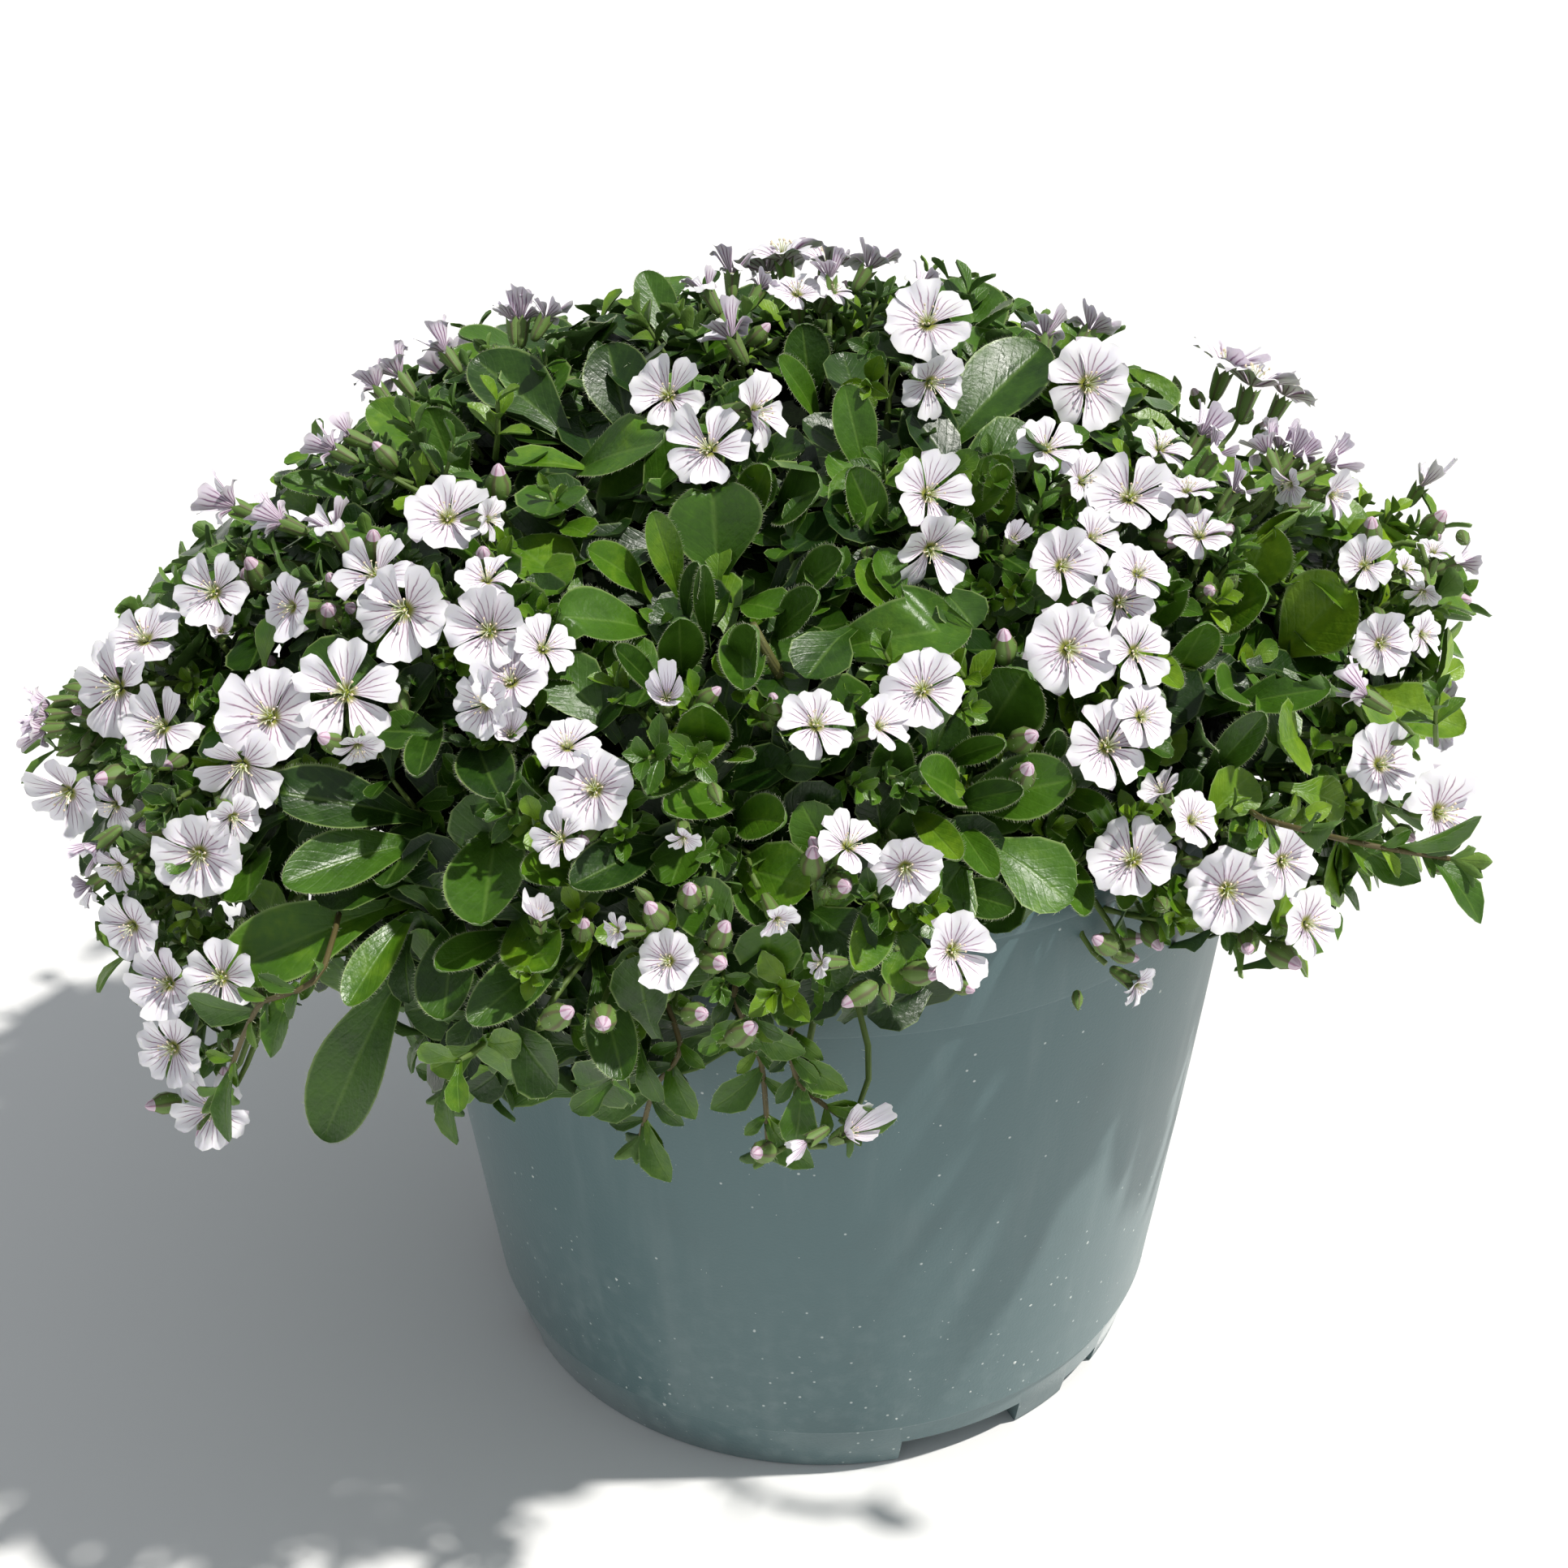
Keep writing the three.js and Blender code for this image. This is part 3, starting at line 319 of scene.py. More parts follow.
# Blooms: throat x and y and width in the photograph's pixels, clock hour of lean, degrees of lean
OPEN_BLOOMS = (
    (262, 729, 98, 10, 30), (358, 748, 82, 9, 52), (177, 786, 104, 11, 48), (143, 848, 124, 9, 38),
    (199, 895, 104, 10, 34), (332, 883, 124, 10, 24), (426, 853, 134, 12, 10), (497, 752, 124, 9, 18),
    (461, 708, 104, 11, 34), (298, 945, 108, 7, 34), (441, 921, 66, 6, 58), (83, 978, 106, 8, 42),
    (141, 993, 72, 8, 50), (245, 1053, 112, 7, 20), (288, 1008, 74, 5, 40), (146, 1068, 62, 8, 60),
    (162, 1142, 88, 8, 44), (206, 1212, 96, 9, 38), (272, 1205, 98, 9, 16), (212, 1292, 96, 8, 30),
    (262, 1368, 98, 8, 20), (552, 636, 104, 12, 30), (603, 640, 60, 3, 58), (602, 777, 104, 10, 16),
    (600, 713, 78, 12, 48), (670, 798, 84, 1, 30), (629, 839, 92, 11, 34), (596, 868, 88, 9, 44),
    (699, 918, 84, 12, 40), (732, 972, 104, 10, 15), (823, 486, 94, 11, 24), (873, 552, 108, 11, 24),
    (933, 507, 102, 3, 62), (982, 360, 74, 12, 58), (1028, 358, 50, 1, 60), (1143, 396, 112, 12, 34),
    (1148, 472, 90, 4, 38), (1145, 608, 104, 2, 24), (1148, 678, 106, 4, 34), (1341, 473, 114, 3, 20),
    (1290, 551, 86, 1, 44), (1334, 592, 82, 2, 56), (1392, 611, 112, 12, 30), (1430, 551, 80, 1, 56),
    (1463, 603, 70, 12, 64), (1478, 658, 84, 12, 48), (1309, 697, 92, 2, 20), (1347, 663, 74, 2, 48),
    (1380, 742, 94, 3, 34), (1403, 705, 78, 1, 40), (1317, 799, 116, 3, 18), (1399, 803, 92, 3, 28),
    (1365, 919, 110, 2, 24), (1407, 882, 84, 2, 34), (1588, 597, 56, 8, 56), (1642, 610, 66, 3, 58),
    (1682, 696, 72, 1, 20), (1732, 700, 52, 2, 56), (1766, 679, 46, 12, 58), (1753, 730, 48, 6, 48),
    (1702, 793, 80, 3, 24), (1753, 782, 58, 3, 56), (1702, 941, 98, 2, 34), (1775, 1001, 118, 3, 46),
    (1513, 1097, 110, 4, 20), (1582, 1061, 92, 3, 38), (1612, 1138, 92, 3, 46), (1006, 892, 96, 1, 28),
    (1137, 849, 104, 12, 15), (1084, 894, 70, 2, 48), (690, 1033, 76, 10, 28), (842, 1034, 46, 6, 50),
    (1046, 1041, 90, 1, 38), (1116, 1070, 94, 5, 28), (1175, 1171, 98, 3, 28), (760, 1146, 46, 9, 56),
    (823, 1184, 78, 9, 20), (958, 1134, 54, 5, 58), (1010, 1186, 44, 9, 56), (1395, 1058, 108, 11, 24),
    (1470, 1010, 76, 2, 46), (1431, 974, 56, 11, 56), (1402, 1214, 58, 4, 66),
)
TURNED_BLOOMS = (
    (56, 884, 62, 9, 106), (119, 1043, 56, 8, 106), (109, 1093, 52, 8, 104), (642, 390, 70, 12, 106),
    (546, 430, 56, 11, 106), (490, 460, 66, 11, 108), (426, 536, 64, 10, 108), (897, 412, 84, 11, 96),
    (902, 333, 62, 12, 110), (939, 353, 52, 1, 108), (1022, 338, 60, 12, 104), (1072, 327, 66, 1, 106),
    (1287, 411, 66, 12, 110), (1345, 404, 72, 1, 112), (1482, 534, 62, 1, 106), (1523, 603, 64, 1, 104),
    (1560, 554, 64, 11, 104), (1596, 559, 60, 1, 106), (1637, 571, 60, 2, 106), (1800, 692, 54, 2, 104),
    (1680, 855, 66, 10, 98), (285, 622, 70, 10, 100), (408, 646, 84, 11, 84),
)
CUP_BLOOMS = (
    (272, 777, 46, 12, 20), (629, 905, 58, 12, 24), (1249, 664, 44, 1, 30), (821, 860, 66, 12, 22),
    (663, 1129, 54, 12, 30), (1046, 1395, 66, 2, 40), (1753, 596, 50, 1, 70), (992, 1408, 38, 8, 70),
)
# Blooms that stand behind or close beside those above
CROWDED_BLOOMS = (
    (633, 391, 60, 12, 108), (674, 388, 56, 1, 106), (462, 475, 58, 11, 108), (409, 553, 54, 10, 108),
    (869, 356, 54, 11, 106), (1135, 350, 56, 1, 100), (1497, 558, 56, 1, 106), (1577, 550, 56, 12, 106),
    (1603, 561, 54, 1, 106), (345, 642, 60, 10, 104), (58, 868, 56, 9, 104), (52, 900, 52, 9, 108),
)
# Buds: x and y in the photograph's pixels, clock hour and degrees of lean
BUDS = (
    (703, 1245, 2, 40), (743, 1264, 6, 20), (868, 1249, 3, 30), (929, 1264, 2, 40), (891, 1188, 4, 30),
    (1044, 1092, 3, 20), (1156, 1200, 3, 50), (929, 1421, 9, 30), (1237, 778, 12, 50), (1349, 1156, 10, 40),
    (1779, 632, 1, 60), (404, 749, 12, 20), (614, 575, 12, 60), (182, 1363, 9, 70), (895, 1138, 1, 40),
    (799, 1115, 11, 40), (1002, 1046, 12, 40), (1268, 944, 1, 30), (1429, 1168, 5, 50), (1518, 650, 2, 50),
    (595, 677, 12, 40), (395, 908, 10, 40), (306, 690, 11, 50), (1788, 1074, 4, 50), (850, 1092, 12, 30),
    (1275, 905, 2, 40), (1600, 1190, 4, 60), (1690, 640, 12, 50), (1810, 740, 3, 60), (120, 960, 9, 60),
)
# Large leaves: base x and y, tip x and y and width in the photograph's pixels
LARGE_LEAVES = (
    (478, 1120, 272, 1205, 98), (482, 1245, 396, 1404, 96), (560, 1010, 606, 1136, 106),
    (476, 1120, 430, 1240, 56), (520, 1150, 548, 1256, 80), (470, 1040, 330, 985, 84),
    (478, 1060, 345, 1080, 80), (596, 1150, 668, 1200, 84), (478, 880, 520, 955, 48),
    (520, 905, 600, 990, 74), (965, 808, 1196, 762, 92), (868, 712, 870, 592, 120),
    (1150, 548, 1286, 424, 100), (1236, 925, 1262, 826, 104), (686, 525, 585, 440, 92),
    (748, 520, 745, 424, 84), (640, 560, 815, 545, 96), (508, 590, 535, 500, 70),
    (790, 770, 690, 762, 84), (935, 615, 1012, 592, 92), (1085, 585, 1030, 478, 58),
    (1172, 1010, 1322, 968, 84), (1215, 1015, 1135, 960, 62), (1190, 1020, 1215, 1085, 44),
    (1160, 1105, 1250, 1118, 52), (1650, 812, 1668, 722, 108), (1715, 850, 1808, 892, 72),
    (1540, 770, 1560, 720, 86), (1590, 860, 1500, 846, 64), (1600, 720, 1572, 648, 84),
    (1540, 985, 1565, 885, 46), (1465, 775, 1450, 712, 44), (1500, 830, 1478, 768, 60),
    (826, 1058, 700, 1086, 68), (888, 1080, 944, 1150, 58), (700, 1290, 770, 1330, 66),
    (905, 735, 905, 850, 60), (560, 590, 455, 498, 70), (820, 400, 790, 335, 50),
    (1180, 640, 1240, 560, 60), (700, 1110, 640, 1070, 60), (880, 900, 840, 950, 60),
    (1000, 460, 985, 400, 60), (640, 1000, 690, 930, 50), (310, 660, 240, 690, 40),
    (420, 600, 345, 585, 44), (640, 415, 560, 405, 48), (1210, 400, 1245, 375, 46),
    (1600, 1005, 1520, 1050, 50), (600, 1250, 545, 1200, 50), (854, 944, 863, 869, 68),
    (850, 945, 808, 985, 50), (880, 1035, 966, 1012, 64), (905, 1010, 822, 1003, 60),
    (880, 955, 922, 940, 28), (1105, 1000, 1100, 905, 56), (1130, 1010, 1180, 1060, 44),
    (775, 725, 725, 672, 52), (815, 735, 800, 632, 44),
    (905, 625, 942, 572, 52), (965, 725, 1038, 685, 60), (937, 787, 1009, 739, 56),
    (850, 790, 865, 696, 28), (825, 765, 862, 695, 30), (815, 835, 826, 765, 60),
    (722, 858, 660, 805, 38), (780, 869, 757, 800, 40), (1015, 490, 956, 446, 42),
    (625, 1020, 640, 945, 66), (655, 455, 690, 418, 44), (700, 392, 755, 395, 34),
    (1100, 660, 1045, 580, 58), (1420, 760, 1450, 850, 40), (1560, 880, 1640, 850, 56),
    (1530, 930, 1480, 900, 46), (560, 700, 530, 650, 40), (300, 760, 240, 740, 40),
    (1253, 640, 1245, 574, 42), (1170, 960, 1236, 905, 34), (1312, 955, 1305, 899, 34),
    (1175, 1020, 1258, 962, 40), (1325, 990, 1362, 1008, 36), (1330, 1070, 1338, 1128, 40),
    (1430, 1100, 1382, 1120, 34),
)
# Old hairy stalk in the middle: x and y in the photograph's pixels and level in the cushion
OLD_STALK = ((978, 862, 0.84), (962, 834, 0.9), (944, 802, 0.95), (926, 770, 1.0))
# Trailing shoots: azimuth where each leaves the soil, the pixels that it hangs through, each with how far
# outside the pot's rim it lies in millimetres, and its leaves
TRAILING_SHOOTS = (
    (-98, ((905, 1225, 12), (938, 1310, 10), (946, 1405, 9)), 3),
    (-88, ((975, 1270, 11), (985, 1335, 12), (1036, 1376, 13)), 3),
    (-112, ((838, 1285, 11), (806, 1340, 11), (790, 1398, 10)), 3),
    (-163, ((400, 1190, 38), (318, 1240, 44), (276, 1340, 46)), 3),
    (-30, ((1560, 1010, 20), (1680, 1040, 34), (1786, 1058, 42)), 4),
    (-128, ((600, 1235, 12), (565, 1290, 12), (548, 1345, 10)), 3),
)
# Edge of the crowded foliage in the photograph's pixels
FOLIAGE_EDGE = (
    (80, 850), (140, 780), (200, 715), (260, 665), (320, 610), (380, 570), (440, 535), (500, 460), (560, 425),
    (620, 395), (680, 390), (740, 375), (800, 345), (860, 360), (920, 368), (980, 360), (1040, 352),
    (1100, 340), (1160, 328), (1200, 345), (1245, 385), (1290, 402), (1340, 415), (1400, 465), (1460, 530),
    (1510, 585), (1560, 580), (1640, 590), (1700, 625), (1760, 610), (1815, 700), (1830, 780), (1790, 840),
    (1730, 870), (1720, 960), (1790, 1000), (1830, 1050), (1790, 1090), (1700, 1060), (1640, 1140),
    (1560, 1175), (1500, 1180), (1440, 1160), (1345, 1165), (1300, 1105), (1250, 1125), (1225, 1180),
    (1140, 1245), (1040, 1240), (960, 1265), (880, 1285), (800, 1305), (750, 1335), (690, 1335), (600, 1340),
    (550, 1350), (515, 1255), (430, 1200), (330, 1230), (290, 1300), (230, 1330), (190, 1300), (160, 1200),
    (120, 1120), (90, 1040), (60, 960),
)


def polar(azimuth: float, radius: float, z: float = 0.0) -> Vector:
    """Point at an azimuth, a radius and a height."""
    return Vector((radius * math.cos(azimuth), radius * math.sin(azimuth), z))


def around(east: Vector, north: Vector, turn: float) -> Vector:
    """Direction at an angle from one direction towards another."""
    return east * math.cos(turn) + north * math.sin(turn)


def point_on(path: Sequence[Vector], place: float) -> Vector:
    """Point of a path at a place that counts its points."""
    first = min(int(place), len(path) - 2)
    return path[first].lerp(path[first + 1], place - first)


def sideways(along: Vector) -> Vector:
    """A level direction across the given one."""
    across = along.cross(UP)
    return Vector((1.0, 0.0, 0.0)) if across.length_squared < 0.01 else across.normalized()


def in_outline(x: float, y: float, outline: Sequence[tuple[float, float]]) -> bool:
    """Whether a pixel lies inside an outline."""
    inside = False
    for (ax, ay), (bx, by) in zip(outline, outline[1:] + outline[:1]):
        if (ay > y) != (by > y) and x < ax + (y - ay) / (by - ay) * (bx - ax):
            inside = not inside
    return inside


def basis(along: Vector, face: Vector) -> Matrix:
    """Turn of a leaf whose local +Y is along and whose local +Z is its face."""
    y_axis = along.normalized()
    x_axis = y_axis.cross(face).normalized()
    return Matrix((x_axis, y_axis, x_axis.cross(y_axis))).transposed()


def upright(axis: Vector, turn: float) -> Matrix:
    """Turn of a thing whose local +Z is the axis, spun round it by an angle."""
    across = sideways(axis)
    across.rotate(Matrix.Rotation(turn, 3, axis))
    return Matrix((across, axis.cross(across), axis)).transposed()


def turned_faces(rings: int, sides: int) -> list[tuple[int, ...]]:
    """Faces of a turned body whose points are its foot, its rings from the bottom up and its top.

    Args:
        rings: how many rings there are.
        sides: corners of each ring.
    Returns:
        The faces, which point outwards.
    """
    last = 1 + (rings - 1) * sides
    faces: list[tuple[int, ...]] = []
    for k in range(sides):
        after = (k + 1) % sides
        faces.append((0, 1 + after, 1 + k))
        faces += [(a + k, a + after, a + sides + after, a + sides + k) for a in range(1, last, sides)]
        faces.append((last + k, last + after, last + sides))
    return faces


class Part(Enum):
    """What a face of the plant shows, read by its material."""

    FRONT = 0.0
    BACK = 1.0
    HAIR = 2.0
    STEM = 3.0


class Shape:
    """Vertices and faces for one mesh, with a UV and a tint at each vertex and a part at each face."""

    hair_radius = 0.03

    def __init__(self, tinted: bool = True) -> None:
        """Starts an empty shape; a template of a scatter has no tint of its own."""
        self.points: list[np.ndarray] = []
        self.uvs: list[np.ndarray] = []
        self.tints: list[np.ndarray] = []
        self.faces: list[tuple[int, ...]] = []
        self.parts: list[float] = []
        self.tinted = tinted
        self.count = 0

    def add(self, points: Sequence[Vector] | np.ndarray, faces: Sequence[tuple[int, ...]],
            uvs: np.ndarray | None = None, parts: Sequence[float] | float = 0.0, tint: float = 0.5) -> None:
        """Adds points and the faces between them.

        Args:
            points: places of the points.
            faces: numbers of the points round each face.
            uvs: UV of each point, or None for zeros.
            parts: what each face shows, or one value for all.
            tint: shade of the points, from 0 to 1.
        """
        rows = np.asarray(points, float).reshape(-1, 3)
        self.points.append(rows)
        self.uvs.append(np.zeros((len(rows), 2)) if uvs is None else np.asarray(uvs, float))
        self.tints.append(np.full(len(rows), tint))
        self.faces.extend(tuple(self.count + i for i in face) for face in faces)
        self.parts.extend([parts] * len(faces) if isinstance(parts, float) else parts)
        self.count += len(rows)

    def add_sheet(self, grid: np.ndarray, thickness: float, turn: Matrix | None = None,
                  tint: float = 0.5) -> None:
        """Adds a thin closed blade: a grid for its face, and a back that meets the face along the edge.

        Args:
            grid: rows by columns of points; columns run across and rows run along.
            thickness: distance between face and back in the middle.
            turn: turn of the blade.
            tint: shade of the blade, from 0 to 1.
        """
        rows, columns = grid.shape[:2]
        slope = np.cross(np.gradient(grid, axis=1), np.gradient(grid, axis=0))
        slope /= np.maximum(np.linalg.norm(slope, axis=2, keepdims=True), 1e-9)
        back = (grid - slope * thickness)[1:-1, 1:-1]
        points = np.concatenate((grid.reshape(-1, 3), back.reshape(-1, 3)))
        front_index = np.arange(rows * columns).reshape(rows, columns)
        back_index = front_index.copy()
        back_index[1:-1, 1:-1] = rows * columns + np.arange(back.size // 3).reshape(back.shape[:2])
        faces: list[tuple[int, ...]] = []
        for i in range(rows - 1):
            for j in range(columns - 1):
                faces.append((front_index[i, j], front_index[i, j + 1],
                              front_index[i + 1, j + 1], front_index[i + 1, j]))
                faces.append((back_index[i, j], back_index[i + 1, j],
                              back_index[i + 1, j + 1], back_index[i, j + 1]))
        parts = [Part.FRONT.value, Part.BACK.value] * (len(faces) // 2)
        uv = np.stack(np.meshgrid(np.linspace(0, 1, columns), np.linspace(0, 1, rows)), axis=2)
        uvs = np.concatenate((uv.reshape(-1, 2), uv[1:-1, 1:-1].reshape(-1, 2)))
        self.add(placed(points, turn), faces, uvs, parts, tint)

    def add_tube(self, points: Sequence[Vector], radii: Sequence[float], sides: int,
                 part: Part = Part.STEM, tint: float = 0.5) -> None:
        """Adds a closed tube through points.

        Args:
            points: the middle of each ring.
            radii: the radius of each ring.
            sides: corners of each ring.
            part: what its faces show.
            tint: its shade, from 0 to 1.
        """
        corners = []
        for i, point in enumerate(points):
            along = (points[min(i + 1, len(points) - 1)] - points[max(i - 1, 0)]).normalized()
            across = sideways(along)
            third = along.cross(across)
            corners += [point + around(across, third, FULL_TURN * k / sides) * radii[i] for k in range(sides)]
        last = (len(points) - 1) * sides
        faces = [(a + k, a + (k + 1) % sides, a + (k + 1) % sides + sides, a + k + sides)
                 for a in range(0, last, sides) for k in range(sides)]
        faces += [tuple(range(sides - 1, -1, -1)), tuple(range(last, last + sides))]
        share = np.repeat(np.linspace(0, 1, len(points)), sides)
        turns = np.tile(np.arange(sides) / sides, len(points))
        self.add(corners, faces, np.stack((turns, share), axis=1), part.value, tint)

    def add_hair(self, root: Vector, tip: Vector, radius: float = hair_radius, tint: float = 0.5) -> None:
        """Adds one hair: a three-sided sliver."""
        along = (tip - root).normalized()
        across = sideways(along) * radius
        third = along.cross(across)
        low = root - across * 0.5
        self.add([root + across, low + third * 0.87, low - third * 0.87, tip],
                 [(0, 1, 3), (1, 2, 3), (2, 0, 3), (2, 1, 0)], None, Part.HAIR.value, tint)

    def add_stem_hair(self, spot: Vector, skin: float, low: float, high: float, draws: Draws) -> None:
        """Adds a hair that stands out of a stem in a random direction.

        Args:
            spot: a point on the stem's axis.
            skin: how far from the axis the hair starts.
            low: least distance of its end from the axis.
            high: greatest distance of its end from the axis.
            draws: random numbers for the hair.
        """
        out = draws.direction().normalized()
        self.add_hair(spot + out * skin, spot + out * draws.between(low, high))

    def add_drop(self, centre: Vector, radius: float, part: Part) -> None:
        """Adds a small eight-faced drop."""
        self.add([centre + corner * radius for corner in drop_corners(1.3)], DROP_FACES, None, part.value)

    def mesh(self, name: str) -> bpy.types.Mesh:
        """Makes the mesh."""
        data = bpy.data.meshes.new(name)
        data.from_pydata((np.concatenate(self.points) * MM).tolist(), [], self.faces)
        corner = np.empty(len(data.loops), np.int32)
        data.loops.foreach_get("vertex_index", corner)
        layer = data.uv_layers.new(name="UVMap")
        layer.data.foreach_set("uv", np.concatenate(self.uvs)[corner].astype(np.float32).ravel())
        part = data.attributes.new("part", "FLOAT", "FACE")
        part.data.foreach_set("value", np.array(self.parts, np.float32))
        if self.tinted:
            tint = data.attributes.new("tint", "FLOAT", "POINT")
            tint.data.foreach_set("value", np.concatenate(self.tints).astype(np.float32))
        data.shade_smooth()
        data.set_sharp_from_angle(angle=math.radians(100))
        data.update()
        return data

    def piece(self, name: str, material: Material) -> Object:
        """Makes an object of the mesh with one material."""
        data = self.mesh(name)
        data.materials.append(material)
        return linked(name, data)


def drop_corners(height: float) -> list[Vector]:
    """Corners of an eight-faced drop of radius 1 and a half height."""
    return [Vector(corner) for corner in (
        (1, 0, 0), (0, 1, 0), (-1, 0, 0), (0, -1, 0), (0, 0, height), (0, 0, -height))]


def placed(points: np.ndarray, turn: Matrix | None, origin: Vector | None = None) -> np.ndarray:
    """Points turned, and then moved to an origin."""
    moved = points if turn is None else points @ np.array(turn).T
    return moved if origin is None else moved + np.array(origin)


def linked(name: str, data: bpy.types.Mesh) -> Object:
    """An object of a mesh, in the scene."""
    obj = bpy.data.objects.new(name, data)
    bpy.context.scene.collection.objects.link(obj)
    return obj


def hand_over(obj: Object, nodes: Sequence[str] = ()) -> None:
    """Lets a finished piece ride on the part and stand for CAD nodes.

    Args:
        obj: the piece.
        nodes: CAD nodes that it stands for.
    """
    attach(obj, "root")
    if nodes:
        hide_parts(*nodes)
    triangles = sum(len(face.vertices) - 2 for face in obj.data.polygons)
    log.info("%s: %d triangles", obj.name, triangles)


class Wiring:
    """Short calls that add and join the nodes of one tree."""

    def __init__(self, tree: Tree) -> None:
        """Keeps the tree."""
        self.tree = tree

    def feed(self, socket: Socket, value: object) -> None:
        """Links a socket to another, or sets its value."""
        if isinstance(value, Socket):
            self.tree.links.new(value, socket)
        elif isinstance(value, tuple) and socket.type == "RGBA":
            socket.default_value = (*value[:3], 1.0)
        else:
            socket.default_value = value

    def give(self, node: bpy.types.Node, values: dict[object, object]) -> None:
        """Feeds a node's inputs, by name or number."""
        for key, value in values.items():
            self.feed(node.inputs[key], value)

    def add(self, kind: str, values: dict[object, object] | None = None, **settings: object
            ) -> bpy.types.Node:
        """Adds a node with its settings and its inputs."""
        node = self.tree.nodes.new(kind)
        for name, value in settings.items():
            setattr(node, name, value)
        self.give(node, values or {})
        return node

    def math(self, operation: str, *values: object) -> Socket:
        """A sum, product or other operation on numbers."""
        return self.add("ShaderNodeMath", dict(enumerate(values)), operation=operation).outputs[0]

    def times(self, one: object, other: object) -> Socket:
        """A product."""
        return self.math("MULTIPLY", one, other)

    def plus(self, one: object, other: object) -> Socket:
        """A sum."""
        return self.math("ADD", one, other)

    def less(self, one: object, other: object) -> Socket:
        """A difference."""
        return self.math("SUBTRACT", one, other)

    def limited(self, value: object) -> Socket:
        """A number held between 0 and 1."""
        return self.math("MINIMUM", self.math("MAXIMUM", value, 0.0), 1.0)

    def off_middle(self, value: object) -> Socket:
        """How far a number is from 0.5."""
        return self.math("ABSOLUTE", self.less(value, 0.5))

    def step(self, value: object, low: float, high: float) -> Socket:
        """A smooth step from 0 at low to 1 at high."""
        node = self.add("ShaderNodeMapRange", {0: value, 1: low, 2: high}, interpolation_type="SMOOTHSTEP")
        return node.outputs[0]

    def fade(self, value: object, low: float, high: float) -> Socket:
        """A smooth step from 1 at low to 0 at high."""
        return self.less(1.0, self.step(value, low, high))

    def blend(self, share: object, one: object, other: object) -> Socket:
        """A colour between two others."""
        return self.add("ShaderNodeMix", {0: share, 6: one, 7: other}, data_type="RGBA").outputs[2]

    def noise(self, vector: object, scale: object, detail: float = 2.0) -> Socket:
        """Noise between 0 and 1."""
        return self.add("ShaderNodeTexNoise", {"Vector": vector, "Scale": scale, "Detail": detail}).outputs[0]

    def split(self, vector: object) -> Sequence[Socket]:
        """The three numbers of a vector."""
        return self.add("ShaderNodeSeparateXYZ", {0: vector}).outputs

    def uv(self) -> Sequence[Socket]:
        """How far across and along its blade a point lies."""
        return self.split(self.add("ShaderNodeUVMap").outputs[0])

    def spot(self) -> Socket:
        """The place on the object."""
        return self.add("ShaderNodeTexCoord").outputs["Object"]

    def attribute(self, name: str) -> Socket:
        """A number that the mesh carries."""
        return self.add("ShaderNodeAttribute", attribute_name=name).outputs["Fac"]

    def from_part(self, part: Part) -> Socket:
        """1 on the faces that show a part or one that comes after it, and 0 on the others."""
        return self.step(self.attribute("part"), part.value - 0.6, part.value - 0.4)

    def group(self, tree: Tree, **values: float) -> Socket:
        """The mask of a shader group with its own values."""
        return self.add("ShaderNodeGroup", values, node_tree=tree).outputs[0]

    def bump(self, height: object, strength: float, distance: float) -> Socket:
        """A normal that follows a height."""
        values = {"Height": height, "Strength": strength, "Distance": distance}
        return self.add("ShaderNodeBump", values).outputs[0]


def new_material(name: str) -> tuple[Material, Wiring, bpy.types.Node]:
    """A material with its wiring and its Principled shader."""
    material = bpy.data.materials.new(name)
    material.use_nodes = True
    return material, Wiring(material.node_tree), material.node_tree.nodes["Principled BSDF"]


def shader_group(name: str, **inputs: float) -> tuple[Tree, Wiring, Sequence[Socket], Socket]:
    """A shader node group that turns numbers into one mask.

    Args:
        name: the group's name.
        inputs: starting value of each input.
    Returns:
        The group, its wiring, its inputs and the socket that takes its mask.
    """
    tree = bpy.data.node_groups.new(name, "ShaderNodeTree")
    for key, start in inputs.items():
        tree.interface.new_socket(key, in_out="INPUT", socket_type="NodeSocketFloat").default_value = start
    tree.interface.new_socket("Mask", in_out="OUTPUT", socket_type="NodeSocketFloat")
    net = Wiring(tree)
    return tree, net, net.add("NodeGroupInput").outputs, net.add("NodeGroupOutput").inputs["Mask"]


def mottle_group() -> Tree:
    """Uneven patches in two sizes, as on leaves, soil and plastic."""
    tree, net, given, mask = shader_group("mottle", Scale=200.0, Contrast=1.0)
    spot = net.spot()
    broad = net.noise(spot, given["Scale"], 3.0)
    fine = net.noise(spot, net.times(given["Scale"], 4.3))
    both = net.plus(net.times(broad, 0.65), net.times(fine, 0.35))
    spread = net.math("MULTIPLY_ADD", net.less(both, 0.5), given["Contrast"], 0.5)
    net.feed(mask, net.limited(spread))
    return tree


def vein_group() -> Tree:
    """Fine lines that run along a blade and fan out with it, strongest at its base."""
    tree, net, given, mask = shader_group("veins", Lines=5.0, Width=0.2, Reach=0.7, Waver=0.3)
    across, along, _ = net.uv()
    waver = net.times(net.less(net.noise(net.spot(), 420.0), 0.5), given["Waver"])
    lane = net.plus(net.times(across, given["Lines"]), waver)
    offset = net.off_middle(net.math("FRACT", lane))
    width = net.times(given["Width"], net.less(1.25, along))
    line = net.limited(net.less(1.0, net.math("DIVIDE", offset, width)))
    reach = net.less(given["Reach"], net.times(net.off_middle(across), 0.7))
    end = net.limited(net.math("DIVIDE", net.less(reach, along), 0.3))
    net.feed(mask, net.times(line, end))
    return tree


